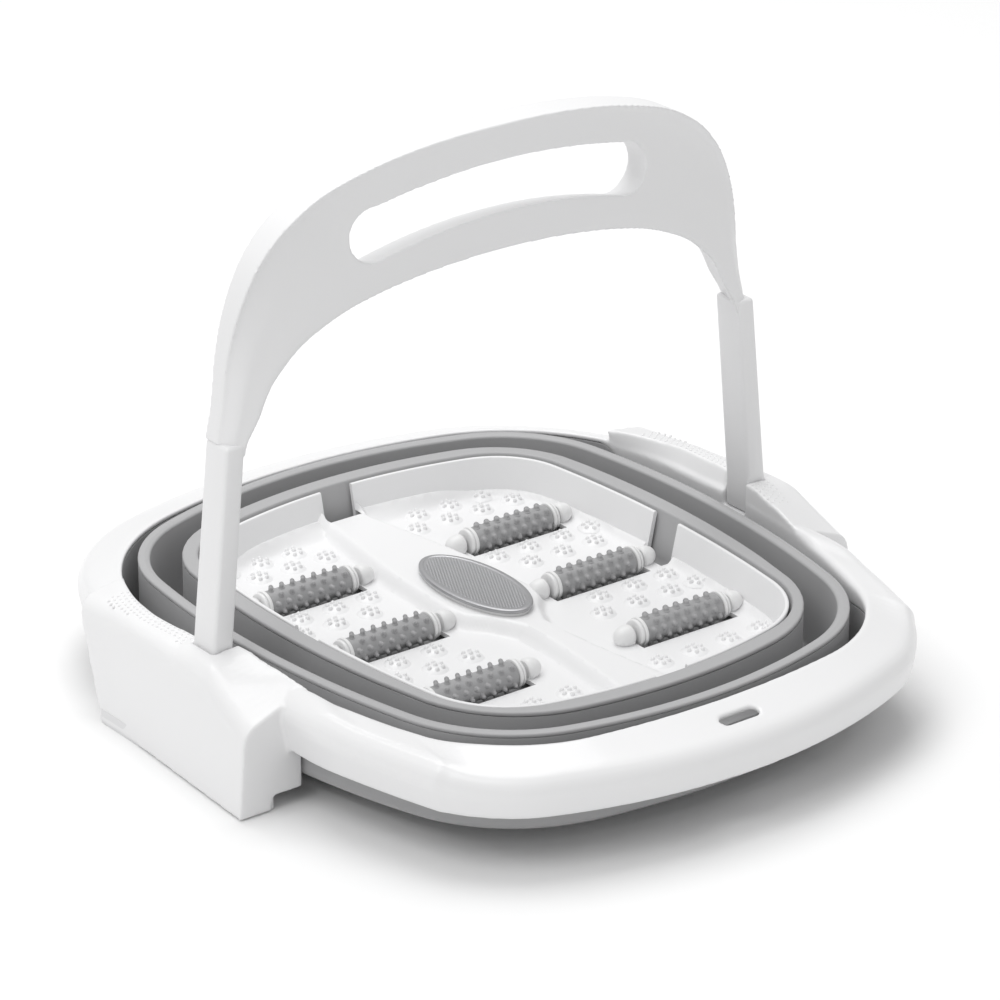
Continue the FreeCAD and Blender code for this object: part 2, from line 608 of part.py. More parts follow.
def roller_sleeve(x, y):
    """Grey sleeve with rows of round studs."""
    half = DRUM_LENGTH / 2
    tube = Part.makeCylinder(DRUM_R, DRUM_LENGTH, Vector(-half, 0, 0), Vector(1, 0, 0))
    studs = []
    for row in range(STUD_ROWS):
        angle = 2 * math.pi * row / STUD_ROWS
        out = Vector(0, math.cos(angle), math.sin(angle))
        stagger = 0.25 if row % 2 else -0.25
        for i in range(STUDS_IN_ROW):
            along = (i - (STUDS_IN_ROW - 1) / 2 + stagger) * DRUM_LENGTH / (STUDS_IN_ROW + 0.5)
            foot = Vector(along, 0, 0) + out * (DRUM_R - 1)
            studs.append(Part.makeCylinder(STUD_R, STUD_HEIGHT + 1, foot, out))
    sleeve = tube.multiFuse(studs).cut(Part.makeCylinder(CORE_R, 200, Vector(-100, 0, 0), Vector(1, 0, 0)))
    sleeve.translate(Vector(x, y, ROLLER_Z))
    return sleeve


# ---------------------------------------------------------------- foot file
FILE_PEG_R = 6.0


def file_plate():
    """Metal rasp plate of the foot file."""
    return oval(FILE_HALF, LEDGE_Z + 1.8, LEDGE_Z + 4.0)


def file_holder():
    """White backing of the foot file with the peg that plugs into the tray."""
    backing = oval((FILE_HALF[0] - 1.2, FILE_HALF[1] - 1.2), LEDGE_Z + SEAT, LEDGE_Z + 1.8)
    return backing.fuse(upright(0, FILE_Y, FILE_PEG_R, FLOOR_Z, LEDGE_Z + 1)).removeSplitter()


# ---------------------------------------------------------------- write the nodes
def parts():
    """Every node's name and its solid or solids."""
    yield "base_pan", base_pan()
    yield "base_plate", base_plate()
    yield "base_screws", base_screws()
    yield "rubber_feet", rubber_feet()
    yield "inner_web", web(CREST_IN)
    yield "middle_ring", middle_ring()
    yield "outer_web", web(CREST_OUT)
    yield "rim", rim()
    yield "rim_liner", rim_liner()
    yield "clamp_strips", clamp_strips()
    yield "socket_right", handle_socket()
    yield "socket_left", mirrored(handle_socket())
    yield "block_cover_right", block_cover()
    yield "block_cover_left", mirrored(block_cover())
    yield "cover_screws", cover_screws()
    yield "detent_springs", [detent_spring(), mirrored(detent_spring())]
    yield "handle_front_shell", handle_shell(True)
    yield "handle_rear_shell", handle_shell(False)
    yield "handle_leg_right", handle_leg()
    yield "handle_leg_left", mirrored(handle_leg())
    yield "handle_screws", handle_screws()
    yield "massage_tray", massage_tray()
    yield "roller_axles", roller_axles()
    yield "axle_caps", axle_caps()
    for number, (x, y) in enumerate(ROLLER_AT, 1):
        yield f"roller_hub_{number}", roller_hub(x, y)
        yield f"roller_sleeve_{number}", roller_sleeve(x, y)
    yield "file_plate", file_plate()
    yield "file_holder", file_holder()


def main():
    os.makedirs("parts", exist_ok=True)
    for name, shape in parts():
        solids = [s for item in (shape if isinstance(shape, list) else [shape]) for s in item.Solids]
        whole = Part.makeCompound(solids) if len(solids) > 1 else solids[0]
        whole.exportStep(f"parts/{name}.step")
        b = whole.BoundBox
        print(f"{name}: {len(solids)} solid(s), valid {whole.isValid()}, volume {whole.Volume / 1000:.1f} cm3, "
              f"x {b.XMin:.1f}..{b.XMax:.1f} y {b.YMin:.1f}..{b.YMax:.1f} z {b.ZMin:.1f}..{b.ZMax:.1f}")


main()
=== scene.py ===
"""Looks for the collapsible foot bath: moulded shells, soft folding rings, tray, rollers and handle."""
import bpy
import bmesh
import json
import math
import random
from collections import namedtuple
from mathutils import Matrix, Vector


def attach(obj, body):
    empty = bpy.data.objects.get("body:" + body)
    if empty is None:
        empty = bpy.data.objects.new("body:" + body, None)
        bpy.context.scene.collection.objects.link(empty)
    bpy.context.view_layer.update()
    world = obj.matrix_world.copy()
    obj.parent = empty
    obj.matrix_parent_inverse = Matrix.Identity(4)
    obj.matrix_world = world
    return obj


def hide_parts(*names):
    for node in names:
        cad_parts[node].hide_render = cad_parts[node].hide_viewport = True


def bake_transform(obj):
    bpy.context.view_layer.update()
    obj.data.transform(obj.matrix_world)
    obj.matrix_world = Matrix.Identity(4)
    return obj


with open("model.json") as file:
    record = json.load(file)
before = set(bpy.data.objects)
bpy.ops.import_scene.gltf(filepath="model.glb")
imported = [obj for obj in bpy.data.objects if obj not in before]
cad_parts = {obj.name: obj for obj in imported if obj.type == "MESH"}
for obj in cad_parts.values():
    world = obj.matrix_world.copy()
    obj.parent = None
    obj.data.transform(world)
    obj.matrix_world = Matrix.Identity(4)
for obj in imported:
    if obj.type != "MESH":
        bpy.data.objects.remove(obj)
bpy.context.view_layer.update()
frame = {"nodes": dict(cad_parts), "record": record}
random.seed(7)

MM = 0.001
SKIN = 2.5                  # wall of the rim, the rings and the pan
LIP = 3.4                   # depth of the rim's white inner lip at the front and the back
RIM_Z = 60.0                # inner edge of the rim
SHOULDER_Z = 50.0           # where the rim's top turns down into its skirt
SKIRT_Z = 31.0              # lower edge of the skirt
CREST_Z = 61.0              # tops of the two grey folds
FOLD_Z = 12.0               # undersides of the grey valleys
FLOOR_Z = 38.3              # foot areas of the tray
LEDGE_Z = 45.5              # the tray's spine, above the foot areas
TRAY_Z = 60.0               # top edge of the tray
PAN_FLOOR_Z = 30.5          # inside floor of the pan
ROLLER_X = {1: 66.5, -1: -69.0}     # middles of the roller slots, right and left
DRUM_X = {1: 66.5, -1: -70.2}       # middles of the rollers, which have some play in the slots
ROLLER_Y = (75.0, 2.0, -71.0)
ROLLER_Z = 42.0
SLOT_LENGTH = 64.0
SLOT_WIDTH = 22.0
FILE_Y = 18.0
FILE_HALF = (20.0, 43.0)

Outline = namedtuple("Outline", "half_x half_y side_r shift front_r back_r corner_front corner_back")
SKIRT = Outline(179, 214, 680, 45, 300, 360, 60, 105)
RIM = Outline(170, 185, 520, 45, 460, 330, 84, 108)
CREST_OUT = Outline(155.5, 181, 560, 22, 290, 290, 84, 76)
CREST_IN = Outline(132.5, 158.5, 560, 20, 300, 300, 74, 62)
TRAY = Outline(121.0, 147.0, 700, 15, 300, 300, 54, 46)


# ------------------------------------------------------------------ outlines
def arcs(o):
    """The outline's eight arcs as (first normal angle, last normal angle, centre x, centre y, radius)."""
    side = {s: (s * (o.half_x - o.side_r), o.shift) for s in (1, -1)}
    end = {1: (0.0, o.half_y - o.back_r), -1: (0.0, o.front_r - o.half_y)}
    end_r = {1: o.back_r, -1: o.front_r}
    corner_r = {1: o.corner_back, -1: o.corner_front}
    found = {}
    for sx in (1, -1):
        for sy in (1, -1):
            ax, ay = side[sx]
            bx, by = end[sy]
            r1, r2 = o.side_r - corner_r[sy], end_r[sy] - corner_r[sy]
            d = math.hypot(bx - ax, by - ay)
            along = (r1 * r1 - r2 * r2 + d * d) / (2 * d)
            across = math.sqrt(r1 * r1 - along * along)
            ux, uy = (bx - ax) / d, (by - ay) / d
            for s in (1, -1):
                px, py = ax + ux * along - uy * across * s, ay + uy * along + ux * across * s
                if px * sx > 0 and py * sy > 0:
                    found[sx, sy] = (px, py, math.atan2(py - ay, px - ax), math.atan2(py - by, px - bx))
    turn = 2 * math.pi
    rows = []
    for first, last, centre, radius in (
            (found[1, -1][2], found[1, 1][2], side[1], o.side_r),
            (found[1, 1][2], found[1, 1][3], found[1, 1][:2], o.corner_back),
            (found[1, 1][3], found[-1, 1][3], end[1], o.back_r),
            (found[-1, 1][3], found[-1, 1][2] % turn, found[-1, 1][:2], o.corner_back),
            (found[-1, 1][2] % turn, found[-1, -1][2] % turn, side[-1], o.side_r),
            (found[-1, -1][2] % turn, found[-1, -1][3] % turn, found[-1, -1][:2], o.corner_front),
            (found[-1, -1][3] % turn, found[1, -1][3] % turn, end[-1], o.front_r),
            (found[1, -1][3] % turn, found[1, -1][2] + turn, found[1, -1][:2], o.corner_front)):
        rows.append((first, last, centre[0], centre[1], radius))
    return rows


ARCS = {o: arcs(o) for o in (SKIRT, RIM, CREST_OUT, CREST_IN, TRAY)}


def at(o, angle, out=0.0):
    """The outline's point whose outward normal has that angle, moved outwards."""
    turn = 2 * math.pi
    for first, last, cx, cy, radius in ARCS[o]:
        if (angle - first) % turn <= (last - first) % turn + 1e-9:
            r = radius + out
            return Vector((cx + r * math.cos(angle), cy + r * math.sin(angle), 0.0))
    raise ValueError("no arc holds this angle")


def stations(o, step):
    """Normal angles that are about evenly spaced along an outline, with every arc's start among them."""
    angles = []
    for first, last, cx, cy, radius in ARCS[o]:
        span = (last - first) % (2 * math.pi)
        n = max(2, round(span * radius / step))
        angles += [first + span * i / n for i in range(n)]
    return angles


def angle_at(o, test, low, high):
    """The normal angle between two where test changes sign."""
    for _ in range(50):
        middle = (low + high) / 2
        if (test(at(o, low)) > 0) == (test(at(o, middle)) > 0):
            low = middle
        else:
            high = middle
    return low


# ------------------------------------------------------------------ mesh helpers
def smoothstep(t):
    t = min(1.0, max(0.0, t))
    return t * t * (3 - 2 * t)


def through(points, t):
    """A smooth value read off a list of (position, value) in rising order of position."""
    if t <= points[0][0]:
        return points[0][1]
    for (a, va), (b, vb) in zip(points, points[1:]):
        if t <= b:
            return va + (vb - va) * smoothstep((t - a) / (b - a)) if b > a else vb
    return points[-1][1]


def linear(points, t):
    """A value read straight off a list of (position, value)."""
    if t <= points[0][0]:
        return points[0][1]
    for (a, va), (b, vb) in zip(points, points[1:]):
        if t <= b:
            return va + (vb - va) * (t - a) / (b - a)
    return points[-1][1]


def rounded(corners, segments=4):
    """A closed 2D path with each (u, v, radius) corner turned into an arc."""
    path = []
    n = len(corners)
    for i, (u, v, r) in enumerate(corners):
        if r <= 0:
            path.append((u, v))
            continue
        p = Vector((u, v))
        a = Vector(corners[i - 1][:2]) - p
        b = Vector(corners[(i + 1) % n][:2]) - p
        if min(a.length, b.length) < 1e-3 or abs(a.normalized().cross(b.normalized())) < 1e-3:
            path += [(u, v)] * (segments + 1)
            continue
        room = min(a.length, b.length) * 0.49
        a.normalize()
        b.normalize()
        half = math.acos(max(-1.0, min(1.0, a.dot(b)))) / 2
        reach = min(r / math.tan(half), room)
        radius = reach * math.tan(half)
        centre = p + (a + b).normalized() * (radius / math.sin(half))
        start, end = p + a * reach - centre, p + b * reach - centre
        sweep = start.angle_signed(end)
        for k in range(segments + 1):
            turned = Matrix.Rotation(-sweep * k / segments, 2) @ start
            path.append(tuple(centre + turned))
    return path


def new_object(name, verts, faces, crease=35.0):
    """A mesh object from points in millimetres, with outward normals and sharp edges kept."""
    mesh = bpy.data.meshes.new(name)
    mesh.from_pydata([Vector(v) * MM for v in verts], [], faces)
    bm = bmesh.new()
    bm.from_mesh(mesh)
    bmesh.ops.remove_doubles(bm, verts=bm.verts, dist=1e-6)
    bmesh.ops.recalc_face_normals(bm, faces=bm.faces)
    bm.to_mesh(mesh)
    bm.free()
    obj = bpy.data.objects.new(name, mesh)
    bpy.context.scene.collection.objects.link(obj)
    shade(obj, crease)
    return obj


def shade(obj, crease=35.0):
    obj.data.shade_smooth()
    obj.data.set_sharp_from_angle(angle=math.radians(crease))


def loft(name, sections, closed=True):
    """Closed cross sections joined one to the next; closed also joins the last to the first."""
    m = len(sections[0])
    verts = [p for s in sections for p in s]
    faces = []
    count = len(sections)
    for i in range(count if closed else count - 1):
        j = (i + 1) % count
        for k in range(m):
            l = (k + 1) % m
            faces.append((i * m + k, i * m + l, j * m + l, j * m + k))
    if not closed:
        for end in (0, (count - 1) * m):
            middle = sum((Vector(verts[end + k]) for k in range(m)), Vector((0, 0, 0))) / m
            verts.append(middle)
            faces += [(end + k, end + (k + 1) % m, len(verts) - 1) for k in range(m)]
    return new_object(name, verts, faces)


def ring(name, angles, section, closed=True):
    """A ring whose cross section at a normal angle is a list of points."""
    return loft(name, [section(a) for a in angles], closed)


def circle(x, y, z, radius, sides):
    """Points of a level circle."""
    turns = [2 * math.pi * k / sides for k in range(sides)]
    return [(x + radius * math.cos(a), y + radius * math.sin(a), z) for a in turns]


def add_stack(verts, faces, rings, tip=None):
    """Adds a closed stack of rings to a mesh in the making; a tip stands in for the first ring's cap."""
    base, n = len(verts), len(rings[0])
    for points in rings:
        verts += points
    for i in range(len(rings) - 1):
        for k in range(n):
            a, b = base + i * n + k, base + i * n + (k + 1) % n
            faces.append((a, b, b + n, a + n))
    last = base + (len(rings) - 1) * n
    faces.append(tuple(range(last, last + n)))
    if tip is None:
        faces.append(tuple(range(base, base + n)))
    else:
        verts.append(tip)
        faces += [(base + k, base + (k + 1) % n, len(verts) - 1) for k in range(n)]


def apply_modifiers(obj):
    graph = bpy.context.evaluated_depsgraph_get()
    mesh = bpy.data.meshes.new_from_object(obj.evaluated_get(graph))
    old = obj.data
    obj.modifiers.clear()
    obj.data = mesh
    bpy.data.meshes.remove(old)
    return obj


def cut(obj, cutters):
    """Boolean difference with several closed meshes, which are then removed."""
    for c in cutters:
        mod = obj.modifiers.new("cut", "BOOLEAN")
        mod.object = c
        mod.operation = "DIFFERENCE"
        mod.solver = "EXACT"
    apply_modifiers(obj)
    for c in cutters:
        bpy.data.objects.remove(c)
    return obj


def joined(name, objs, crease=35.0):
    """One object out of several."""
    bm = bmesh.new()
    for o in objs:
        bm.from_mesh(o.data)
    mesh = bpy.data.meshes.new(name)
    bm.to_mesh(mesh)
    bm.free()
    for o in objs:
        bpy.data.objects.remove(o)
    obj = bpy.data.objects.new(name, mesh)
    bpy.context.scene.collection.objects.link(obj)
    shade(obj, crease)
    return obj


def remeshed(obj, voxel, passes):
    """The union of closed meshes as one even skin, with softened edges."""
    mod = obj.modifiers.new("skin", "REMESH")
    mod.mode = "VOXEL"
    mod.voxel_size = voxel * MM
    mod.use_smooth_shade = True
    soft = obj.modifiers.new("soften", "SMOOTH")
    soft.factor = 0.5
    soft.iterations = passes
    apply_modifiers(obj)
    obj.data.shade_smooth()
    return obj


def bevelled(obj, width, segments):
    """Rounds the edges sharper than a limit."""
    limit = 35.0
    mod = obj.modifiers.new("round", "BEVEL")
    mod.width = width * MM
    mod.segments = segments
    mod.limit_method = "ANGLE"
    mod.angle_limit = math.radians(limit)
    apply_modifiers(obj)
    shade(obj, limit)
    return obj


def block(name, x, y, z):
    """A plain box between limits, as raw material for cuts and bevels."""
    x0, x1 = sorted(x)
    verts = [(a, b, c) for a in (x0, x1) for b in y for c in z]
    faces = [(0, 1, 3, 2), (4, 6, 7, 5), (0, 4, 5, 1), (2, 3, 7, 6), (0, 2, 6, 4), (1, 5, 7, 3)]
    return new_object(name, verts, faces)


def prism(name, points, y0, y1):
    """An XZ polygon pushed along Y."""
    n = len(points)
    verts = [(x, y0, z) for x, z in points] + [(x, y1, z) for x, z in points]
    faces = [tuple(range(n)), tuple(range(n, 2 * n))]
    faces += [(i, (i + 1) % n, n + (i + 1) % n, n + i) for i in range(n)]
    return new_object(name, verts, faces)


def turned(name, profile, centre, sides=40):
    """A (distance along X, radius) profile spun about the X axis through centre."""
    sections = []
    for i in range(sides):
        a = 2 * math.pi * i / sides
        row = [Vector((along, r * math.cos(a), r * math.sin(a))) for along, r in profile]
        sections.append([Vector(centre) + p for p in row])
    return loft(name, sections)


# ------------------------------------------------------------------ materials
def material(name, colour, rough, grain=900.0, depth=0.00002, spread=0.02, wave=0.0, metal=0.0, coat=0.0,
             sheen=0.0):
    """A moulded or machined surface: fine grain, slow waviness, uneven gloss and faint tone changes."""
    mat = bpy.data.materials.new(name)
    mat.use_nodes = True
    nodes, links = mat.node_tree.nodes, mat.node_tree.links
    shader = nodes["Principled BSDF"]
    shader.inputs["Metallic"].default_value = metal
    shader.inputs["Coat Weight"].default_value = coat
    shader.inputs["Coat Roughness"].default_value = 0.08
    shader.inputs["Sheen Weight"].default_value = sheen
    where = nodes.new("ShaderNodeTexCoord")
    slow = nodes.new("ShaderNodeTexNoise")
    slow.inputs["Scale"].default_value = 14.0
    slow.inputs["Detail"].default_value = 4.0
    fine = nodes.new("ShaderNodeTexNoise")
    fine.inputs["Scale"].default_value = grain
    fine.inputs["Detail"].default_value = 3.0
    for n in (slow, fine):
        links.new(where.outputs["Object"], n.inputs["Vector"])
    ramp = nodes.new("ShaderNodeMapRange")
    ramp.inputs["To Min"].default_value = rough * 0.82
    ramp.inputs["To Max"].default_value = min(1.0, rough * 1.2)
    links.new(slow.outputs["Fac"], ramp.inputs["Value"])
    links.new(ramp.outputs["Result"], shader.inputs["Roughness"])
    tone = nodes.new("ShaderNodeMix")
    tone.data_type = "RGBA"
    low = [max(0.0, c * (1 - spread)) for c in colour]
    high = [min(1.0, c * (1 + spread)) for c in colour]
    tone.inputs["A"].default_value = (*low, 1.0)
    tone.inputs["B"].default_value = (*high, 1.0)
    both = nodes.new("ShaderNodeMath")
    both.operation = "MULTIPLY_ADD"
    both.inputs[1].default_value = 0.5
    links.new(fine.outputs["Fac"], both.inputs[0])
    half = nodes.new("ShaderNodeMath")
    half.operation = "MULTIPLY"
    half.inputs[1].default_value = 0.5
    links.new(slow.outputs["Fac"], half.inputs[0])
    links.new(half.outputs[0], both.inputs[2])
    links.new(both.outputs[0], tone.inputs["Factor"])
    links.new(tone.outputs["Result"], shader.inputs["Base Color"])
    bump = nodes.new("ShaderNodeBump")
    bump.inputs["Strength"].default_value = 0.35
    bump.inputs["Distance"].default_value = depth
    links.new(fine.outputs["Fac"], bump.inputs["Height"])
    last = bump
    if wave:
        ripple = nodes.new("ShaderNodeBump")
        ripple.inputs["Strength"].default_value = 0.5
        ripple.inputs["Distance"].default_value = wave
        links.new(slow.outputs["Fac"], ripple.inputs["Height"])
        links.new(bump.outputs["Normal"], ripple.inputs["Normal"])
        last = ripple
    links.new(last.outputs["Normal"], shader.inputs["Normal"])
    return mat


MATS = {
    "rim_white": material("rim_gloss_white", (0.83, 0.83, 0.835), 0.36, 1400, 0.000008, 0.01, 0.00008,
                          coat=0.25),
    "handle_white": material("handle_satin_white", (0.82, 0.82, 0.825), 0.42, 1700, 0.000015, 0.012, 0.0002),
    "tray_white": material("tray_white", (0.83, 0.83, 0.835), 0.37, 1500, 0.00001, 0.01, 0.0002, coat=0.1),
    "hub_white": material("hub_white", (0.78, 0.78, 0.78), 0.37, 1800, 0.00001, 0.012),
    "holder_white": material("holder_white", (0.74, 0.74, 0.74), 0.45, 1800, 0.00002, 0.02),
    "cover_white": material("cover_white", (0.75, 0.75, 0.755), 0.4, 1800, 0.00003, 0.03),
    "soft_grey": material("soft_grey", (0.41, 0.41, 0.415), 0.5, 2400, 0.00003, 0.05, 0.0002, sheen=0.1),
    "pan_grey": material("pan_grey", (0.41, 0.41, 0.415), 0.5, 2200, 0.00003, 0.05, 0.0002),
    "plate_grey": material("plate_grey", (0.14, 0.14, 0.145), 0.6, 1500, 0.00005, 0.08),
    "foot_rubber": material("foot_rubber", (0.03, 0.03, 0.03), 0.75, 2600, 0.00006, 0.2),
    "stud_grey": material("stud_grey", (0.34, 0.34, 0.345), 0.55, 2600, 0.00003, 0.06, sheen=0.15),
    "steel": material("steel", (0.55, 0.55, 0.57), 0.37, 3000, 0.00001, 0.05, metal=1.0),
    "rasp_steel": material("rasp_steel", (0.42, 0.42, 0.43), 0.38, 3200, 0.00002, 0.12, metal=0.85),
}


def dress(obj, slot, body, *replaced):
    """Material, slot, body and the CAD nodes that a piece stands for."""
    obj.data.materials.clear()
    obj.data.materials.append(MATS[slot])
    if body:
        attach(obj, body)
    if replaced:
        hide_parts(*replaced)
    return obj


for row in frame["record"]["subparts"]:
    node = frame["nodes"][row["node"]]
    node.data.materials.clear()
    node.data.materials.append(MATS[row["material_slot"]])


# ------------------------------------------------------------------ rim with its two side blocks
# Tables of (y, value) along the rim's sides, from the front to the back.
# How far a block's top stands above the rim, and the rim's own edge beside it.
BLOCK_LIFT = [(-112, 0.0), (-72, 1.0), (-58, 3.0), (-30, 7.2), (-10, 10.0), (10, 10.0), (22, 7.4), (55, 6.4),
              (95, 5.6), (112, 5.0)]
HOOP_LIFT = [(-112, 0.0), (-72, 1.0), (-52, 3.4), (-20, 3.4), (40, 0.0)]
# How far a block's inner wall leans outwards.
LEAN = [(10, 0.0), (20, 6.6), (60, 7.4), (95, 3.0), (112, 1.0)]
# How much lower a block's outer edge is than its inner one, and how far its outer side stands out.
EDGE_DROP = [(-52, 15.5), (-35, 11.5), (-25, 6.8), (-15, 3.4), (-2, 2.4), (12, 2.4), (30, 1.0), (60, 1.4),
             (90, 2.4), (112, 4.0)]
FLARE = [(-54, 7.0), (84, 0.0)]
BLOCK_FRONT_Y = -54.5
BLOCK_BACK_Y = 83.5         # back end of a side block at the floor
BLOCK_END_Y = 111.0         # back end at its top
BLOCK_OUT_X = 196.2
BLOCK_TOP_OUT_X = 192.0
BLOCK_LOW_Z = 0.6
BLOCK_FOOT_Z = 8.2          # height of the foot along the block's outer side
BLOCK_FOOT_WIDTH = 20.0
BLOCK_WALL_Z = 44.0         # lower edge of the block's inner wall
BLOCK_BEND_Z = 55.0         # above this the inner wall leans outwards
BLOCK_RISE = 67.0           # height over which the back end leans from BLOCK_BACK_Y to BLOCK_END_Y
POCKET_X = (165.0, 183.2)
POCKET_Y = (-4.7, 15.4)
POCKET_Z = (50.0, 90.0)
HANG_SLOT = (-199.0, 9.0, 3.2)  # middle y, half length between the round ends, their radius


def block_top(y):
    """Height of a side block's top at its inner edge."""
    return RIM_Z + through(BLOCK_LIFT, y)


def lip_depth(point):
    """How far the rim's white inner lip reaches down: deep along the two sides, shallow at the ends."""
    beside = smoothstep((abs(point.x) - 118.0) / 40.0) * smoothstep((112.0 - point.y) / 22.0)
    return LIP + 13.0 * beside


def bulge_at(point):
    """How far the skirt swells outwards on its way from a side block to a front corner."""
    corner = smoothstep((point.y + 165.0) / 60.0) * smoothstep((abs(point.x) - 80.0) / 68.0)
    return 6.0 * smoothstep((-20.0 - point.y) / 35.0) * corner


def rim_section(angle):
    """Cross section of the rim: inner lip, sloping top, rounded shoulder and skirt."""
    inner, outer = at(RIM, angle), at(SKIRT, angle)
    normal = Vector((math.cos(angle), math.sin(angle), 0.0))
    width = (outer - inner).dot(normal)
    slip = outer - inner - normal * width
    side = smoothstep((abs(inner.x) - 120.0) / 25.0)
    narrow = 1.0 - smoothstep((width - 9.0) / 18.0)
    bulge = bulge_at(inner)
    up = through(HOOP_LIFT, inner.y) * side
    shoulder = SHOULDER_Z + 5.0 * narrow + 0.55 * up
    swell = width + 2.0 * narrow + bulge
    foot = width + 0.7 * bulge
    deep = RIM_Z - lip_depth(inner)
    corners = [(0, deep, 0.4), (0, RIM_Z + up, 0.9 + 2.6 * side),
               (swell + 3.5, shoulder + 0.35 * bulge, 15.0), (foot, SKIRT_Z, 0.8),
               (foot - SKIN, SKIRT_Z, 0.6), (swell + 0.7, shoulder - LIP, 11.0),
               (3.0, RIM_Z - LIP, 0.4), (3.0, deep, 0.4)]
    path = rounded(corners, 5)
    return [inner + normal * q + slip * min(1.0, q / width) + Vector((0, 0, z)) for q, z in path]


def rim_inner_x(y):
    """Where the rim's inner edge runs on the right side."""
    return at(RIM, angle_at(RIM, lambda p: p.y - y, -math.pi / 2, math.pi / 2)).x


def block_section(t, sign):
    """Cross section of a side block; t runs from 0 at the front to 1 at the back."""
    y_top = BLOCK_FRONT_Y + t * (BLOCK_END_Y - BLOCK_FRONT_Y)
    inner, top, flare = rim_inner_x(y_top), block_top(y_top), linear(FLARE, y_top)
    wall, out, rest = inner + 0.3, BLOCK_OUT_X + flare, inner + 4.2
    corners = [(wall, BLOCK_WALL_Z, 0), (wall, BLOCK_BEND_Z, 2.0), (wall + linear(LEAN, y_top), top, 0.9),
               (BLOCK_TOP_OUT_X + 1.1 * flare, top - linear(EDGE_DROP, y_top), 12.0),
               (out, BLOCK_LOW_Z, 0.8), (out - BLOCK_FOOT_WIDTH, BLOCK_LOW_Z, 0.8),
               (out - BLOCK_FOOT_WIDTH, BLOCK_FOOT_Z, 0), (rest, BLOCK_FOOT_Z, 0.8), (rest, BLOCK_WALL_Z, 0)]
    points = []
    for x, z in rounded(corners, 6):
        back = BLOCK_BACK_Y + (BLOCK_END_Y - BLOCK_BACK_Y) * max(0.0, z - BLOCK_LOW_Z) / BLOCK_RISE
        y = BLOCK_FRONT_Y + t * (back - BLOCK_FRONT_Y)
        if y_top > 40.0 and x < out - 1.0:
            x += (rim_inner_x(y) - inner) * (1.0 - (x - inner) / (out - inner))
        points.append(Vector((sign * x, y, z)))
    return points


def side_block(sign):
    """A raised block that holds one end of the handle, with closer sections near its front edge."""
    steps = [0.0, 0.01, 0.025, 0.045, 0.07] + [0.1 + 0.9 * i / 40 for i in range(41)]
    return loft(f"block_{sign}", [block_section(t, sign) for t in steps], closed=False)


def pocket(sign):
    """The hollow that the handle's leg stands in."""
    return block("pocket", [sign * x for x in POCKET_X], POCKET_Y, POCKET_Z)


def slot_cutter():
    """The hanging slot's oblong."""
    middle, half, radius = HANG_SLOT
    turns = [2 * math.pi * k / 24 for k in range(24)]
    shifts = [(math.copysign(half, math.cos(a)), a) for a in turns]
    oblong = [(shift + radius * math.cos(a), middle + radius * math.sin(a)) for shift, a in shifts]
    levels = (SKIRT_Z + 13.0, RIM_Z + 10.0)
    return loft("slot_cut", [[Vector((x, y, z)) for x, y in oblong] for z in levels], closed=False)


def extra_stations(o, values):
    """Angles on both sides of an outline where y has given values."""
    found = []
    for y in values:
        found.append(angle_at(o, lambda p: p.y - y, -math.pi / 2, math.pi / 2))
        found.append(angle_at(o, lambda p: p.y - y, math.pi / 2, 1.5 * math.pi))
    return found


def make_rim():
    """The rim and its two side blocks as one white shell."""
    turn = 2 * math.pi
    angles = stations(SKIRT, 5.0) + extra_stations(RIM, (BLOCK_END_Y, BLOCK_END_Y + 0.3))
    angles = sorted(a % turn for a in angles)
    hoop = ring("rim_hoop", angles, rim_section)
    cut(hoop, [pocket(1), pocket(-1), slot_cutter()])
    blocks = [cut(side_block(s), [pocket(s)]) for s in (1, -1)]
    whole = joined("rim_shell", [hoop] + blocks)
    remeshed(whole, 1.0, 5)
    return dress(whole, "rim_white", "rim_body", "rim")


def make_grip_dots():
    """Rows of tiny raised dots on the blocks' tops, behind the handle and, on the right, in front of it."""
    verts, faces = [], []
    pitch, row_gap, rows, per_row = 3.8, 2.9, 5, 32
    for sign in (1, -1):
        for row in range(rows):
            for i in range(per_row):
                y = -28.0 + (i + 0.5 * (row % 2)) * pitch
                if -8.0 < y < 19.0 or (sign < 0 and y < 0.0):
                    continue
                edge = rim_inner_x(y) + linear(LEAN, y)
                x = edge + 2.0 + row * row_gap
                if x > 187.0:
                    continue
                across = (x - edge) / (BLOCK_TOP_OUT_X + linear(FLARE, y) - edge)
                z = block_top(y) - linear(EDGE_DROP, y) * across
                rings = [circle(sign * x, y, z + h, r, 8) for h, r in ((0.4, 0.6), (-0.4, 0.9))]
                add_stack(verts, faces, rings, (sign * x, y, z + 0.6))
    return dress(new_object("grip_dots", verts, faces, 60), "rim_white", "rim_body")


# ------------------------------------------------------------------ soft folding rings
def inwards(outer, inner, angle, path, out=0.0):
    """A (distance inwards, height) path laid across the gap between two outlines."""
    normal = Vector((math.cos(angle), math.sin(angle), 0.0))
    start, end = at(outer, angle), at(inner, angle, out)
    width = (start - end).dot(normal)
    slip = end - start + normal * width
    return [start - normal * q + slip * min(1.0, max(0.0, q / width)) + Vector((0, 0, z)) for q, z in path]


def gap_at(outer, inner, angle, out=0.0):
    """The distance between two outlines along a normal."""
    normal = Vector((math.cos(angle), math.sin(angle), 0.0))
    return (at(outer, angle) - at(inner, angle, out)).dot(normal)


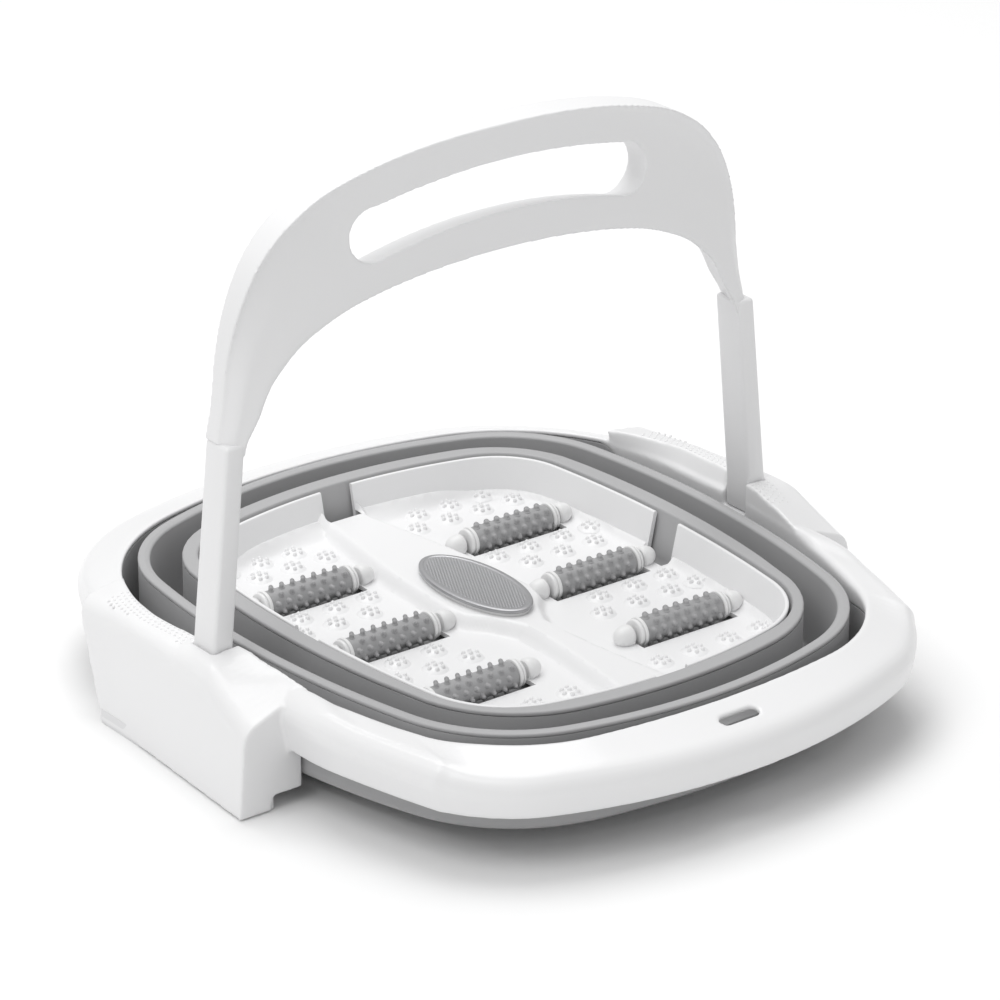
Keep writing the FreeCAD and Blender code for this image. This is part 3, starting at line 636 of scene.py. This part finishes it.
def make_liner():
    """Grey liner: a wall under the rim's inner edge and the floor of the outer valley."""
    def section(a):
        gap = gap_at(RIM, CREST_OUT, a) - 0.5
        top = RIM_Z - 0.2 - lip_depth(at(RIM, a))
        corners = [(-2.2, top, 0.4), (-0.2, top, 0.4), (-0.2, FOLD_Z + SKIN, 5.0), (gap, FOLD_Z + SKIN, 0.3),
                   (gap, FOLD_Z, 0.6), (-2.2, FOLD_Z, 7.0)]
        return inwards(RIM, CREST_OUT, a, rounded(corners, 6))

    return dress(ring("rim_liner_soft", stations(RIM, 6.0), section), "soft_grey", "rim_body", "rim_liner")


def make_middle():
    """The middle tier's ring: the outer fold's top, its inner wall and the floor of the inner valley."""
    def section(a):
        reach = gap_at(CREST_OUT, CREST_IN, a, 0.4)
        corners = [(0, CREST_Z - SKIN, 0.8), (0, CREST_Z - 0.5, 1.6), (3.6, CREST_Z, 2.4),
                   (6.6, CREST_Z - 0.9, 1.6), (7.8, FOLD_Z + SKIN, 4.0), (reach, FOLD_Z + SKIN, 0.3),
                   (reach, FOLD_Z, 0.6), (5.4, FOLD_Z, 6.0), (4.6, CREST_Z - SKIN - 1.2, 1.6)]
        return inwards(CREST_OUT, CREST_IN, a, rounded(corners, 5), 0.4)

    shell = ring("middle_ring_soft", stations(CREST_OUT, 6.0), section)
    return dress(shell, "soft_grey", "middle", "middle_ring")


def make_web(name, o, node):
    """Soft wall below a crest's outer edge, baked in place and tied to no body."""
    top, low = CREST_Z - SKIN - 0.2, FOLD_Z + SKIN + 0.2
    rows = 26
    sections = []
    for a in stations(o, 7.0):
        outer = [at(o, a, -0.1) + Vector((0, 0, top + (low - top) * i / rows)) for i in range(rows + 1)]
        inner = [at(o, a, -1.9) + Vector((0, 0, top + (low - top) * i / rows)) for i in range(rows, -1, -1)]
        sections.append(outer + inner)
    web = loft(name, sections)
    dress(web, "soft_grey", None, node)
    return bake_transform(web)


def make_pan():
    """The pan: the inner fold's top, its wall down to the water floor, and the pedestal underneath."""
    def section(a):
        top = gap_at(CREST_IN, TRAY, a, 1.7)
        foot = top + 6.1
        far = foot + 14.0
        low = PAN_FLOOR_Z - SKIN
        corners = [(0, CREST_Z - SKIN, 0.8), (0, CREST_Z, 1.3), (top, CREST_Z, 1.4), (foot, PAN_FLOOR_Z, 6.0),
                   (far, PAN_FLOOR_Z, 0), (far, low, 0), (foot - SKIN, low, 5.0),
                   (top - SKIN, CREST_Z - SKIN, 3.0)]
        return inwards(CREST_IN, TRAY, a, rounded(corners, 5), 1.7)

    pedestal_path = rounded([(-6, 4.5, 0.5), (-8.5, 4.5, 0.5), (-8.5, 29, 0), (-6, 29, 0)], 3)

    def pedestal_section(a):
        return [at(TRAY, a, q) + Vector((0, 0, z)) for q, z in pedestal_path]

    bowl = ring("pan_bowl", stations(TRAY, 6.0), section)
    edge = [at(TRAY, a, -12.0) for a in stations(TRAY, 8.0)]
    verts, faces = [], []
    levels = (PAN_FLOOR_Z - 0.05, PAN_FLOOR_Z - SKIN + 0.05)
    add_stack(verts, faces, [[(p.x, p.y, z) for p in edge] for z in levels])
    floor = new_object("pan_floor", verts, faces)
    pedestal = ring("pan_pedestal", stations(TRAY, 6.0), pedestal_section)
    return dress(joined("pan_shell", [bowl, floor, pedestal]), "pan_grey", "base", "base_pan")


# ------------------------------------------------------------------ massage tray
# Half width of the raised spine between the foot areas, from the front to the back.
SPINE = [(-128, 14.0), (-100, 10.0), (-75, 7.0), (-50, 5.0), (-34, 5.0), (-17, 13.0), (-6, 22.0), (8, 25.0),
         (34, 23.5), (58, 22.0), (88, 18.0), (112, 14.0), (130, 11.0)]
SLOPE = 7.5                 # width of the spine's slope down to a foot area
COVE = 7.0                  # width of the cove at the foot of the wall
FLOOR_THICK = 2.4
NOTCH_HALF = 10.4           # half width of the four notches in the wall
NOTCH_SIDE_Y = 3.0          # middle of the two side notches
NOTCH_DEEP_X = 107.0        # how far from the middle the side notches start
NOTCH_DEEP_Y = 135.0        # the same for the front and back notches


def wall_gap(x, y):
    """About how far a point of the floor is from the foot of the tray's wall."""
    best = 1e9
    for first, last, cx, cy, radius in ARCS[TRAY]:
        angle = math.atan2(y - cy, x - cx)
        if (angle - first) % (2 * math.pi) <= (last - first) % (2 * math.pi):
            best = min(best, radius - math.hypot(x - cx, y - cy))
    return best - COVE


def floor_height(x, y):
    """Height of the tray's floor: two foot areas either side of a waisted spine, and a cove at the wall."""
    spine = 1.0 - smoothstep((abs(x) - linear(SPINE, y)) / SLOPE)
    gap = wall_gap(x, y)
    reach = NOTCH_HALF + 1.0
    at_notch = abs(x) < reach or (abs(x) > 95 and abs(y - NOTCH_SIDE_Y) < reach)
    cove = max(0.0, 1.0 - gap / COVE) ** 2.2 * 4.0 if gap < COVE and not at_notch else 0.0
    back = smoothstep((y - 128.0) / 8.0) * 0.45
    front = smoothstep((-118.0 - y) / 10.0) * 0.45
    level = max(spine, back, front)
    return FLOOR_Z + (LEDGE_Z - FLOOR_Z) * level + min(cove, 4.0)


def grid_lines(low, high, step, keep):
    """Coordinates about evenly spaced, with the given ones among them."""
    marks = sorted({low, high, *[k for k in keep if low < k < high]})
    lines = []
    for a, b in zip(marks, marks[1:]):
        n = max(1, round((b - a) / step))
        lines += [a + (b - a) * i / n for i in range(n)]
    return lines + [high]


def in_slot(x, y):
    """Whether a point of the floor lies in one of the six roller slots."""
    across = any(abs(x - c) < SLOT_LENGTH / 2 for c in ROLLER_X.values())
    return across and any(abs(y - r) < SLOT_WIDTH / 2 for r in ROLLER_Y)


def in_notch(x, y):
    """Whether a point of the floor lies in one of the four notches."""
    if abs(x) < NOTCH_HALF and abs(y) > NOTCH_DEEP_Y:
        return True
    return abs(x) > NOTCH_DEEP_X and abs(y - NOTCH_SIDE_Y) < NOTCH_HALF


def tray_floor():
    """The floor with its slots and notches, as a grid whose lines run along the openings' edges."""
    step = 1.6
    slot_x = [ROLLER_X[s] + e * SLOT_LENGTH / 2 for s in (1, -1) for e in (1, -1)]
    slot_y = [y + e * SLOT_WIDTH / 2 for y in ROLLER_Y for e in (1, -1)]
    notch_x = [-NOTCH_HALF, NOTCH_HALF, -NOTCH_DEEP_X, NOTCH_DEEP_X]
    notch_y = [NOTCH_SIDE_Y - NOTCH_HALF, NOTCH_SIDE_Y + NOTCH_HALF, -NOTCH_DEEP_Y, NOTCH_DEEP_Y]
    xs = grid_lines(-118, 118, step, slot_x + notch_x)
    ys = grid_lines(-145.5, 145.5, step, slot_y + notch_y)
    index = {}
    verts, faces = [], []

    def vertex(i, j):
        if (i, j) not in index:
            index[i, j] = len(verts)
            verts.append((xs[i], ys[j], floor_height(xs[i], ys[j])))
        return index[i, j]

    for i in range(len(xs) - 1):
        for j in range(len(ys) - 1):
            x, y = (xs[i] + xs[i + 1]) / 2, (ys[j] + ys[j + 1]) / 2
            if wall_gap(x, y) >= -2.6 and not in_slot(x, y) and not in_notch(x, y):
                faces.append((vertex(i, j), vertex(i + 1, j), vertex(i + 1, j + 1), vertex(i, j + 1)))
    floor = new_object("tray_floor", verts, faces, 50)
    solid = floor.modifiers.new("thick", "SOLIDIFY")
    solid.thickness = FLOOR_THICK * MM
    solid.offset = -1.0
    return apply_modifiers(floor)


def tray_walls():
    """The four stretches of wall between the notches."""
    turn = 2 * math.pi
    low, high = NOTCH_SIDE_Y - NOTCH_HALF, NOTCH_SIDE_Y + NOTCH_HALF
    limits = [angle_at(TRAY, test, *between) for test, between in (
        (lambda p: p.y - low, (-0.5, 0.5)), (lambda p: p.y - high, (-0.5, 0.5)),
        (lambda p: p.x - NOTCH_HALF, (0.9, 2.2)), (lambda p: p.x + NOTCH_HALF, (0.9, 2.2)),
        (lambda p: p.y - high, (2.6, 3.7)), (lambda p: p.y - low, (2.6, 3.7)),
        (lambda p: p.x + NOTCH_HALF, (4.0, 5.4)), (lambda p: p.x - NOTCH_HALF, (4.0, 5.4)))]
    spread = stations(TRAY, 4.0)
    path = rounded([(0, TRAY_Z, 0.9), (-2.4, TRAY_Z, 0.9), (-7.2, FLOOR_Z, 0.4),
                    (-7.2, FLOOR_Z - 2.2, 0.3), (-5.0, FLOOR_Z - 2.2, 1.0)], 3)

    def section(a):
        return [at(TRAY, a, q) + Vector((0, 0, z)) for q, z in path]

    walls = []
    for k in range(4):
        first, last = limits[2 * k + 1], limits[(2 * k + 2) % 8]
        span = (last - first) % turn
        inside = sorted((a - first) % turn for a in spread if 0.002 < (a - first) % turn < span - 0.002)
        angles = [first + d for d in [0.0] + inside + [span]]
        walls.append(ring("tray_wall", angles, section, closed=False))
    return walls


def make_tray():
    return dress(joined("tray_shell", [tray_floor()] + tray_walls()), "tray_white", "tray", "massage_tray")


# Rows of nub clusters: y, and how far the clusters are from the middle on both sides.
NUB_ROWS = [(126, (42, 64, 86)), (111, (31, 53, 75, 97)), (55, (43, 65, 88, 108)), (39, (54, 76, 98)),
            (-19, (55, 79, 101)), (-36, (44, 67, 90, 108)), (-101, (30, 53, 76, 98))]
MOUND_RADIUS = 7.6
NUB_CIRCLE = 4.1            # radius of the circle that six nubs stand on, around a seventh
NUB_RADIUS = 1.3


def dome(verts, faces, x, y, z, height, sides=10, steps=4):
    """A nub added to a mesh in the making, sunk a little into the mound."""
    turns = [math.pi / 2 * k / steps for k in range(1, steps + 1)]
    rings = [circle(x, y, z + height * math.cos(a), NUB_RADIUS * math.sin(a), sides) for a in turns]
    rings.append(circle(x, y, z - 1.0, NUB_RADIUS, sides))
    add_stack(verts, faces, rings, (x, y, z + height))


def mound(verts, faces, x, y, z, sides=20, steps=5):
    """The low mound under a cluster of nubs."""
    rings = []
    for k in range(1, steps + 1):
        t = k / steps
        rings.append(circle(x, y, z + 2.4 * (1 - t * t) ** 0.8 - 0.2, MOUND_RADIUS * t, sides))
    add_stack(verts, faces, rings, (x, y, z + 2.2))


def make_nubs():
    """Clusters of small fingers on low mounds, in staggered rows over both foot areas."""
    verts, faces = [], []
    spots = [(sign * x, y) for y, row in NUB_ROWS for x in row for sign in (1, -1)]
    for x, y in spots:
        z = min(floor_height(x, y), FLOOR_Z + 0.3)
        mound(verts, faces, x, y, z)
        spin = random.uniform(0, 0.3)
        for k in range(6):
            b = math.pi / 3 * k + spin
            dome(verts, faces, x + NUB_CIRCLE * math.cos(b), y + NUB_CIRCLE * math.sin(b), z + 1.2, 2.1)
        dome(verts, faces, x, y, z + 1.9, 2.0)
    return dress(new_object("tray_nubs", verts, faces, 60), "tray_white", "tray")


def make_cradles():
    """Round-ended bearing covers on both sides of each slot."""
    verts, faces = [], []
    sides, steps = 28, 10
    neck, length, height = 1.6, 8.4, 6.1
    turns = [math.pi / 2 * k / steps for k in range(1, steps + 1)]
    profile = [(0.0, 0.0), (0.0, 5.0), (0.6, 5.7), (neck, height)]
    profile += [(neck + length * math.sin(a), height * math.cos(a) ** 0.8) for a in turns]
    for y, column, side in [(y, c, s) for y in ROLLER_Y for c in (1, -1) for s in (1, -1)]:
        start = ROLLER_X[column] + side * (SLOT_LENGTH / 2 + 0.5)
        base = len(verts)
        for along, r in profile:
            for k in range(sides):
                b = 2 * math.pi * k / sides
                z = max(ROLLER_Z + r * math.sin(b), FLOOR_Z - 1.8)
                verts.append((start + side * along, y + r * math.cos(b), z))
        for i in range(len(profile) - 1):
            for k in range(sides):
                a, b = base + i * sides + k, base + i * sides + (k + 1) % sides
                faces.append((a, b, b + sides, a + sides))
    return dress(new_object("axle_cradles", verts, faces, 40), "hub_white", "tray", "axle_caps")


# ------------------------------------------------------------------ rollers
DRUM_HALF = 26.0            # half length of a roller's studded sleeve
STUD_ROWS = 10              # rows of studs around a sleeve
STUDS_PER_ROW = 7


def roller_hub(centre):
    """The white core of a roller with a flange and a grooved ring at both ends."""
    d = DRUM_HALF
    groove, ring_start, ring_end = d + 1.9, d + 2.5, d + 4.2
    parts = []
    for s in (-1, 1):
        corners = [(d, 1.6, 0), (d, 8.1, 0.5), (groove, 8.1, 0.5), (groove, 6.9, 0.2), (ring_start, 6.9, 0.2),
                   (ring_start, 7.7, 0.5), (ring_end, 7.4, 0.9), (ring_end, 1.6, 0)]
        parts.append(turned("hub_ring", rounded([(s * along, r, c) for along, r, c in corners], 3), centre))
    return parts + [turned("hub_core", [(-d, 1.6), (-d, 4.4), (d, 4.4), (d, 1.6)], centre, sides=24)]


def roller_studs(centre, tall, thick, sides=10):
    """Blunt studs in staggered rows around a sleeve."""
    verts, faces = [], []
    foot_h = 0.8
    profile = [(0.0, thick * 1.5), (foot_h, thick * 1.45), (1.1, thick * 1.12), (1.5, thick)]
    profile += [(foot_h + tall - thick + thick * math.sin(q), thick * math.cos(q))
                for q in (0.0, 0.4, 0.8, 1.15)]
    turns = [2 * math.pi * k / sides for k in range(sides)]
    for row in range(STUD_ROWS):
        angle = 2 * math.pi * row / STUD_ROWS + math.pi / 2
        out = Vector((0, math.cos(angle), math.sin(angle)))
        over = Vector((0, -math.sin(angle), math.cos(angle)))
        stagger = 0.25 if row % 2 else -0.25
        for i in range(STUDS_PER_ROW):
            along = (i - (STUDS_PER_ROW - 1) / 2 + stagger) * (2 * DRUM_HALF) / (STUDS_PER_ROW + 0.5)
            foot = Vector(centre) + Vector((along, 0, 0)) + out * 6.4
            rings = []
            for h, r in reversed(profile):
                middle = foot + out * h
                rings.append([middle + Vector((r * math.cos(b), 0, 0)) + over * (r * math.sin(b))
                              for b in turns])
            add_stack(verts, faces, rings, foot + out * (foot_h + tall))
    return new_object("studs", verts, faces, 60)


def make_roller(number, x, y):
    """A roller; the left column's studs are a little longer and thinner than the right column's."""
    centre = (x, y, ROLLER_Z)
    body = f"roller_{number}"
    dress(joined(f"roller_hub_{number}_body", roller_hub(centre)), "hub_white", body, f"roller_hub_{number}")
    end = DRUM_HALF - 0.1
    drum = turned("drum", rounded([(-end, 4.5, 0), (-end, 7.2, 0.5), (end, 7.2, 0.5), (end, 4.5, 0)], 3),
                  centre, sides=48)
    studs = roller_studs(centre, 2.5, 1.25) if x < 0 else roller_studs(centre, 2.1, 1.6)
    dress(joined(f"roller_sleeve_{number}_body", [drum, studs], 50), "stud_grey", body,
          f"roller_sleeve_{number}")


# ------------------------------------------------------------------ foot file
TOOTH_PITCH = 1.75
TOOTH_ROW_GAP = TOOTH_PITCH * 0.866 * 1.05
TOOTH = ((0.7, 0.0), (0.52, 0.28), (0.3, 0.42))     # (radius, height) of a tooth's rings


def file_plate(low, high, sides=96):
    """The oval plate with its rolled border."""
    profile = ((0.6, low), (0.0, low + 0.6), (0.0, high - 0.8), (0.3, high - 0.25), (0.9, high), (2.4, high),
               (2.8, high - 0.25), (3.2, high - 0.3))
    turns = [2 * math.pi * i / sides for i in range(sides)]
    rings = []
    for shrink, z in profile:
        half_x, half_y = FILE_HALF[0] - shrink, FILE_HALF[1] - shrink
        rings.append([(half_x * math.cos(a), FILE_Y + half_y * math.sin(a), z) for a in turns])
    verts, faces = [], []
    add_stack(verts, faces, rings)
    return new_object("file_plate_metal", verts, faces, 30)


def file_teeth(z):
    """Fine teeth in staggered rows inside the plate's border."""
    verts, faces = [], []
    half_x, half_y = FILE_HALF[0] - 4.2, FILE_HALF[1] - 4.2
    for j in range(-24, 25):
        for i in range(-12, 13):
            x = (i + (0.5 if j % 2 else 0.0)) * TOOTH_PITCH
            y = j * TOOTH_ROW_GAP
            if (x / half_x) ** 2 + (y / half_y) ** 2 <= 1:
                add_stack(verts, faces, [circle(x, FILE_Y + y, z + h, r, 6) for r, h in TOOTH])
    return new_object("file_teeth", verts, faces, 30)


def make_file():
    """Oval rasp: plain border and rows of fine teeth."""
    low, high = LEDGE_Z + 1.8, LEDGE_Z + 4.0
    rasp = joined("file_rasp", [file_plate(low, high), file_teeth(high - 0.35)], 30)
    dress(rasp, "rasp_steel", "file", "file_plate")


# ------------------------------------------------------------------ handle
ARCH_Y = (-4.5, 15.5)       # front and back face of the arch
ARCH_STEP_Z = 178.0         # where the legs meet the arch
LEG_Y = (-4.3, 15.0)
LEG_FOOT_Z = 50.4           # foot of a leg's bar, on the pocket's floor
LEG_BEND_Z = 66.5           # below this the bar is upright
TENON_X = (176.0, 182.6)    # the tongue below the bar
TENON_Y = (-3.0, 10.5)
TENON_Z = (12.5, 56.0)


def three_point(a, b, c, n):
    """Points of the circle's arc through three points."""
    d = 2 * (a.x * (b.y - c.y) + b.x * (c.y - a.y) + c.x * (a.y - b.y))
    sq = [p.length_squared for p in (a, b, c)]
    centre = Vector(((sq[0] * (b.y - c.y) + sq[1] * (c.y - a.y) + sq[2] * (a.y - b.y)) / d,
                     (sq[0] * (c.x - b.x) + sq[1] * (a.x - c.x) + sq[2] * (b.x - a.x)) / d))
    start = a - centre
    sweep = start.angle_signed(b - centre) + (b - centre).angle_signed(c - centre)
    return [centre + Matrix.Rotation(-sweep * k / n, 2) @ start for k in range(n + 1)]


def resampled(points, count):
    """The same path with evenly spaced points."""
    reach = [0.0]
    for p, q in zip(points, points[1:]):
        reach.append(reach[-1] + (q - p).length)
    found, k = [], 0
    for i in range(count + 1):
        want = reach[-1] * i / count
        while k < len(points) - 2 and reach[k + 1] < want:
            k += 1
        t = (want - reach[k]) / max(1e-9, reach[k + 1] - reach[k])
        found.append(points[k].lerp(points[k + 1], min(1.0, t)))
    return found


def spline(points, steps=8):
    """A smooth path through the given points."""
    found = []
    n = len(points)
    for i in range(n - 1):
        p0, p1, p2, p3 = (Vector(points[min(n - 1, max(0, i + k))]) for k in (-1, 0, 1, 2))
        for k in range(steps):
            t = k / steps
            found.append(0.5 * (2 * p1 + (p2 - p0) * t + (2 * p0 - 5 * p1 + 4 * p2 - p3) * t ** 2
                                + (3 * p1 - p0 - 3 * p2 + p3) * t ** 3))
    return found + [Vector(points[-1])]


ARCH_OUTER = [(172.3, 170.5), (171.6, 178.0), (168.5, 192.0), (166.6, 206.0), (164.6, 222.0), (160.0, 241.5),
              (152.0, 261.0), (142.5, 275.0), (129.0, 287.3), (108.0, 298.3), (76.0, 306.4), (45.0, 310.4),
              (16.0, 311.9), (0.0, 312.0)]
ARCH_INNER = [(160.3, 170.5), (158.0, 178.0), (151.5, 188.0), (143.5, 203.5), (133.0, 214.5), (121.0, 223.3),
              (99.0, 232.6), (76.5, 237.9), (54.5, 241.1), (33.0, 243.1), (12.0, 244.0), (0.0, 244.2)]


def arch_edges(count=90):
    """Outer and inner edge of the arch in the XZ plane, from the right end over the top to the left end."""
    pairs = []
    for points in (ARCH_OUTER, ARCH_INNER):
        half = resampled(spline(points), count)
        pairs.append(half + [Vector((-p.x, p.y)) for p in reversed(half[:-1])])
    return pairs


def grip_outline(low):
    """The grip slot: two long bowed sides and two round ends."""
    half, reach, shift = 80.0, 95.6, 3.0
    high, high_drop, low_drop = 292.2, 8.5, 9.7
    high_end, low_end = high - high_drop, low - low_drop
    middle = (high_end + low_end) / 2
    a = three_point(Vector((-half, high_end)), Vector((0, high)), Vector((half, high_end)), 24)
    b = three_point(a[-1], Vector((reach, middle)), Vector((half, low_end)), 14)[1:]
    c = three_point(b[-1], Vector((0, low)), Vector((-half, low_end)), 24)[1:]
    d = three_point(c[-1], Vector((-reach, middle)), a[0], 14)[1:-1]
    return [p + Vector((shift, 0)) for p in a + b + c + d]


# Depths in the arch's front face, from its ends (0) to its top (1): at the outer edge and in the dish.
EDGE_CUT = [(0.0, 9.0), (0.16, 9.0), (0.34, 4.0), (0.5, 0.6), (1.0, 0.0)]
DISH = [(0.0, 2.2), (0.3, 3.6), (0.55, 4.2), (0.75, 1.6), (1.0, 0.6)]


def arch_front(across, edge, dish):
    """How deep the arch's front face lies, from its outer edge (0) to its inner one (1)."""
    hollow = math.sin(math.pi * min(1.0, across / 0.9) ** 0.6)
    return edge * max(0.0, 1.0 - across / 0.45) ** 1.6 + dish * hollow


def make_arch():
    """Arch of the handle with its grip slot: the front face is dished behind the outer edge."""
    outer, inner = arch_edges()
    half = len(outer) // 2
    strips = 16
    front, back = ARCH_Y
    sections = []
    for i, (o, n) in enumerate(zip(outer, inner)):
        along = 1.0 - abs(i - half) / half
        edge, dish = linear(EDGE_CUT, along), linear(DISH, along)
        row = []
        for k in range(strips + 1):
            p = o.lerp(n, k / strips)
            row.append(Vector((p.x, front + 0.3 + arch_front(k / strips, edge, dish), p.y)))
        for across in (1.0 - 5.5 / (n - o).length, 0.5, 0.0):
            p = o.lerp(n, across)
            row.append(Vector((p.x, back, p.y)))
        sections.append(row)
    arch = loft("handle_arch", sections, closed=False)
    slot = loft("grip_cut", [[Vector((p.x, y, p.y)) for p in grip_outline(low)]
                             for y, low in ((front - 3, 265.9), (back + 3, 260.0))], closed=False)
    step_z = (160.0, ARCH_STEP_Z - 1.0)
    steps = [block("end_cut", (s * 150.0, s * 190.0), (2.5, 20.0), step_z) for s in (1, -1)]
    cut(arch, [slot] + steps)
    remeshed(arch, 0.9, 4)
    return dress(arch, "handle_white", "handle", "handle_front_shell", "handle_rear_shell")


def make_leg(sign):
    """A leg: a leaning bar between the arch and its pocket, and the tongue below it."""
    side = "right" if sign > 0 else "left"
    top = ARCH_STEP_Z - 0.4
    points = [(170.5, LEG_FOOT_Z), (183.0, LEG_FOOT_Z), (183.0, LEG_BEND_Z), (171.7, top), (160.2, top),
              (170.5, LEG_BEND_Z)]
    bar = bevelled(prism("bar", [(sign * x, z) for x, z in points], *LEG_Y), 2.2, 4)
    tenon = bevelled(block("tenon", [sign * x for x in TENON_X], TENON_Y, TENON_Z), 0.8, 2)
    leg = joined(f"handle_leg_{side}_bar", [bar, tenon])
    return dress(leg, "handle_white", "handle", f"handle_leg_{side}")


# ------------------------------------------------------------------ build everything
make_rim()
make_grip_dots()
make_liner()
make_middle()
make_web("outer_web_soft", CREST_OUT, "outer_web")
make_web("inner_web_soft", CREST_IN, "inner_web")
make_pan()
make_tray()
make_nubs()
make_cradles()
number = 0
for column in (1, -1):
    for row_y in ROLLER_Y:
        number += 1
        make_roller(number, DRUM_X[column], row_y)
make_file()
make_arch()
for sign in (1, -1):
    make_leg(sign)


# ------------------------------------------------------------------ floor, light and camera
def make_stage():
    bpy.ops.mesh.primitive_plane_add(size=14.0, location=(0, 0, -0.0002))
    floor = bpy.context.object
    floor.name = "floor"
    mat = bpy.data.materials.new("floor_pale")
    mat.use_nodes = True
    shader = mat.node_tree.nodes["Principled BSDF"]
    shader.inputs["Base Color"].default_value = (0.93, 0.93, 0.93, 1)
    shader.inputs["Roughness"].default_value = 0.9
    floor.data.materials.append(mat)


def area_light(name, place, target, size, power):
    data = bpy.data.lights.new(name, "AREA")
    data.shape = "RECTANGLE"
    data.size, data.size_y = size
    data.energy = power
    lamp = bpy.data.objects.new(name, data)
    bpy.context.scene.collection.objects.link(lamp)
    lamp.location = place
    lamp.rotation_euler = (Vector(target) - Vector(place)).to_track_quat("-Z", "Y").to_euler()


def make_light():
    world = bpy.data.worlds.new("studio")
    bpy.context.scene.world = world
    world.use_nodes = True
    world.node_tree.nodes["Background"].inputs["Color"].default_value = (1, 1, 1, 1)
    world.node_tree.nodes["Background"].inputs["Strength"].default_value = 0.60
    area_light("key", (-1.5, -0.3, 2.2), (0, 0, 0.08), (1.6, 1.6), 17.5)
    area_light("top", (0.3, 0.8, 2.4), (0, 0, 0.05), (1.8, 1.8), 31)


def make_camera():
    """The camera's place, found by matching the object's edges to the reference view."""
    azimuth, elevation = math.radians(-37.46), math.radians(24.56)
    right = Vector((math.cos(azimuth), math.sin(azimuth), 0))
    level = Vector((math.sin(azimuth), -math.cos(azimuth), 0))
    back = level * math.cos(elevation) + Vector((0, 0, math.sin(elevation)))
    up = back.cross(right)
    target = Vector((0, 0, 0.060))
    data = bpy.data.cameras.new("camera")
    data.sensor_width = 36.0
    data.lens = 170.5
    camera = bpy.data.objects.new("camera", data)
    bpy.context.scene.collection.objects.link(camera)
    camera.location = target + back * 2.5
    aim = target + right * 0.00215 + up * 0.0396
    camera.rotation_euler = (aim - camera.location).to_track_quat("-Z", "Y").to_euler()
    bpy.context.scene.camera = camera


make_stage()
make_light()
make_camera()
bpy.context.scene.view_settings.view_transform = "Standard"
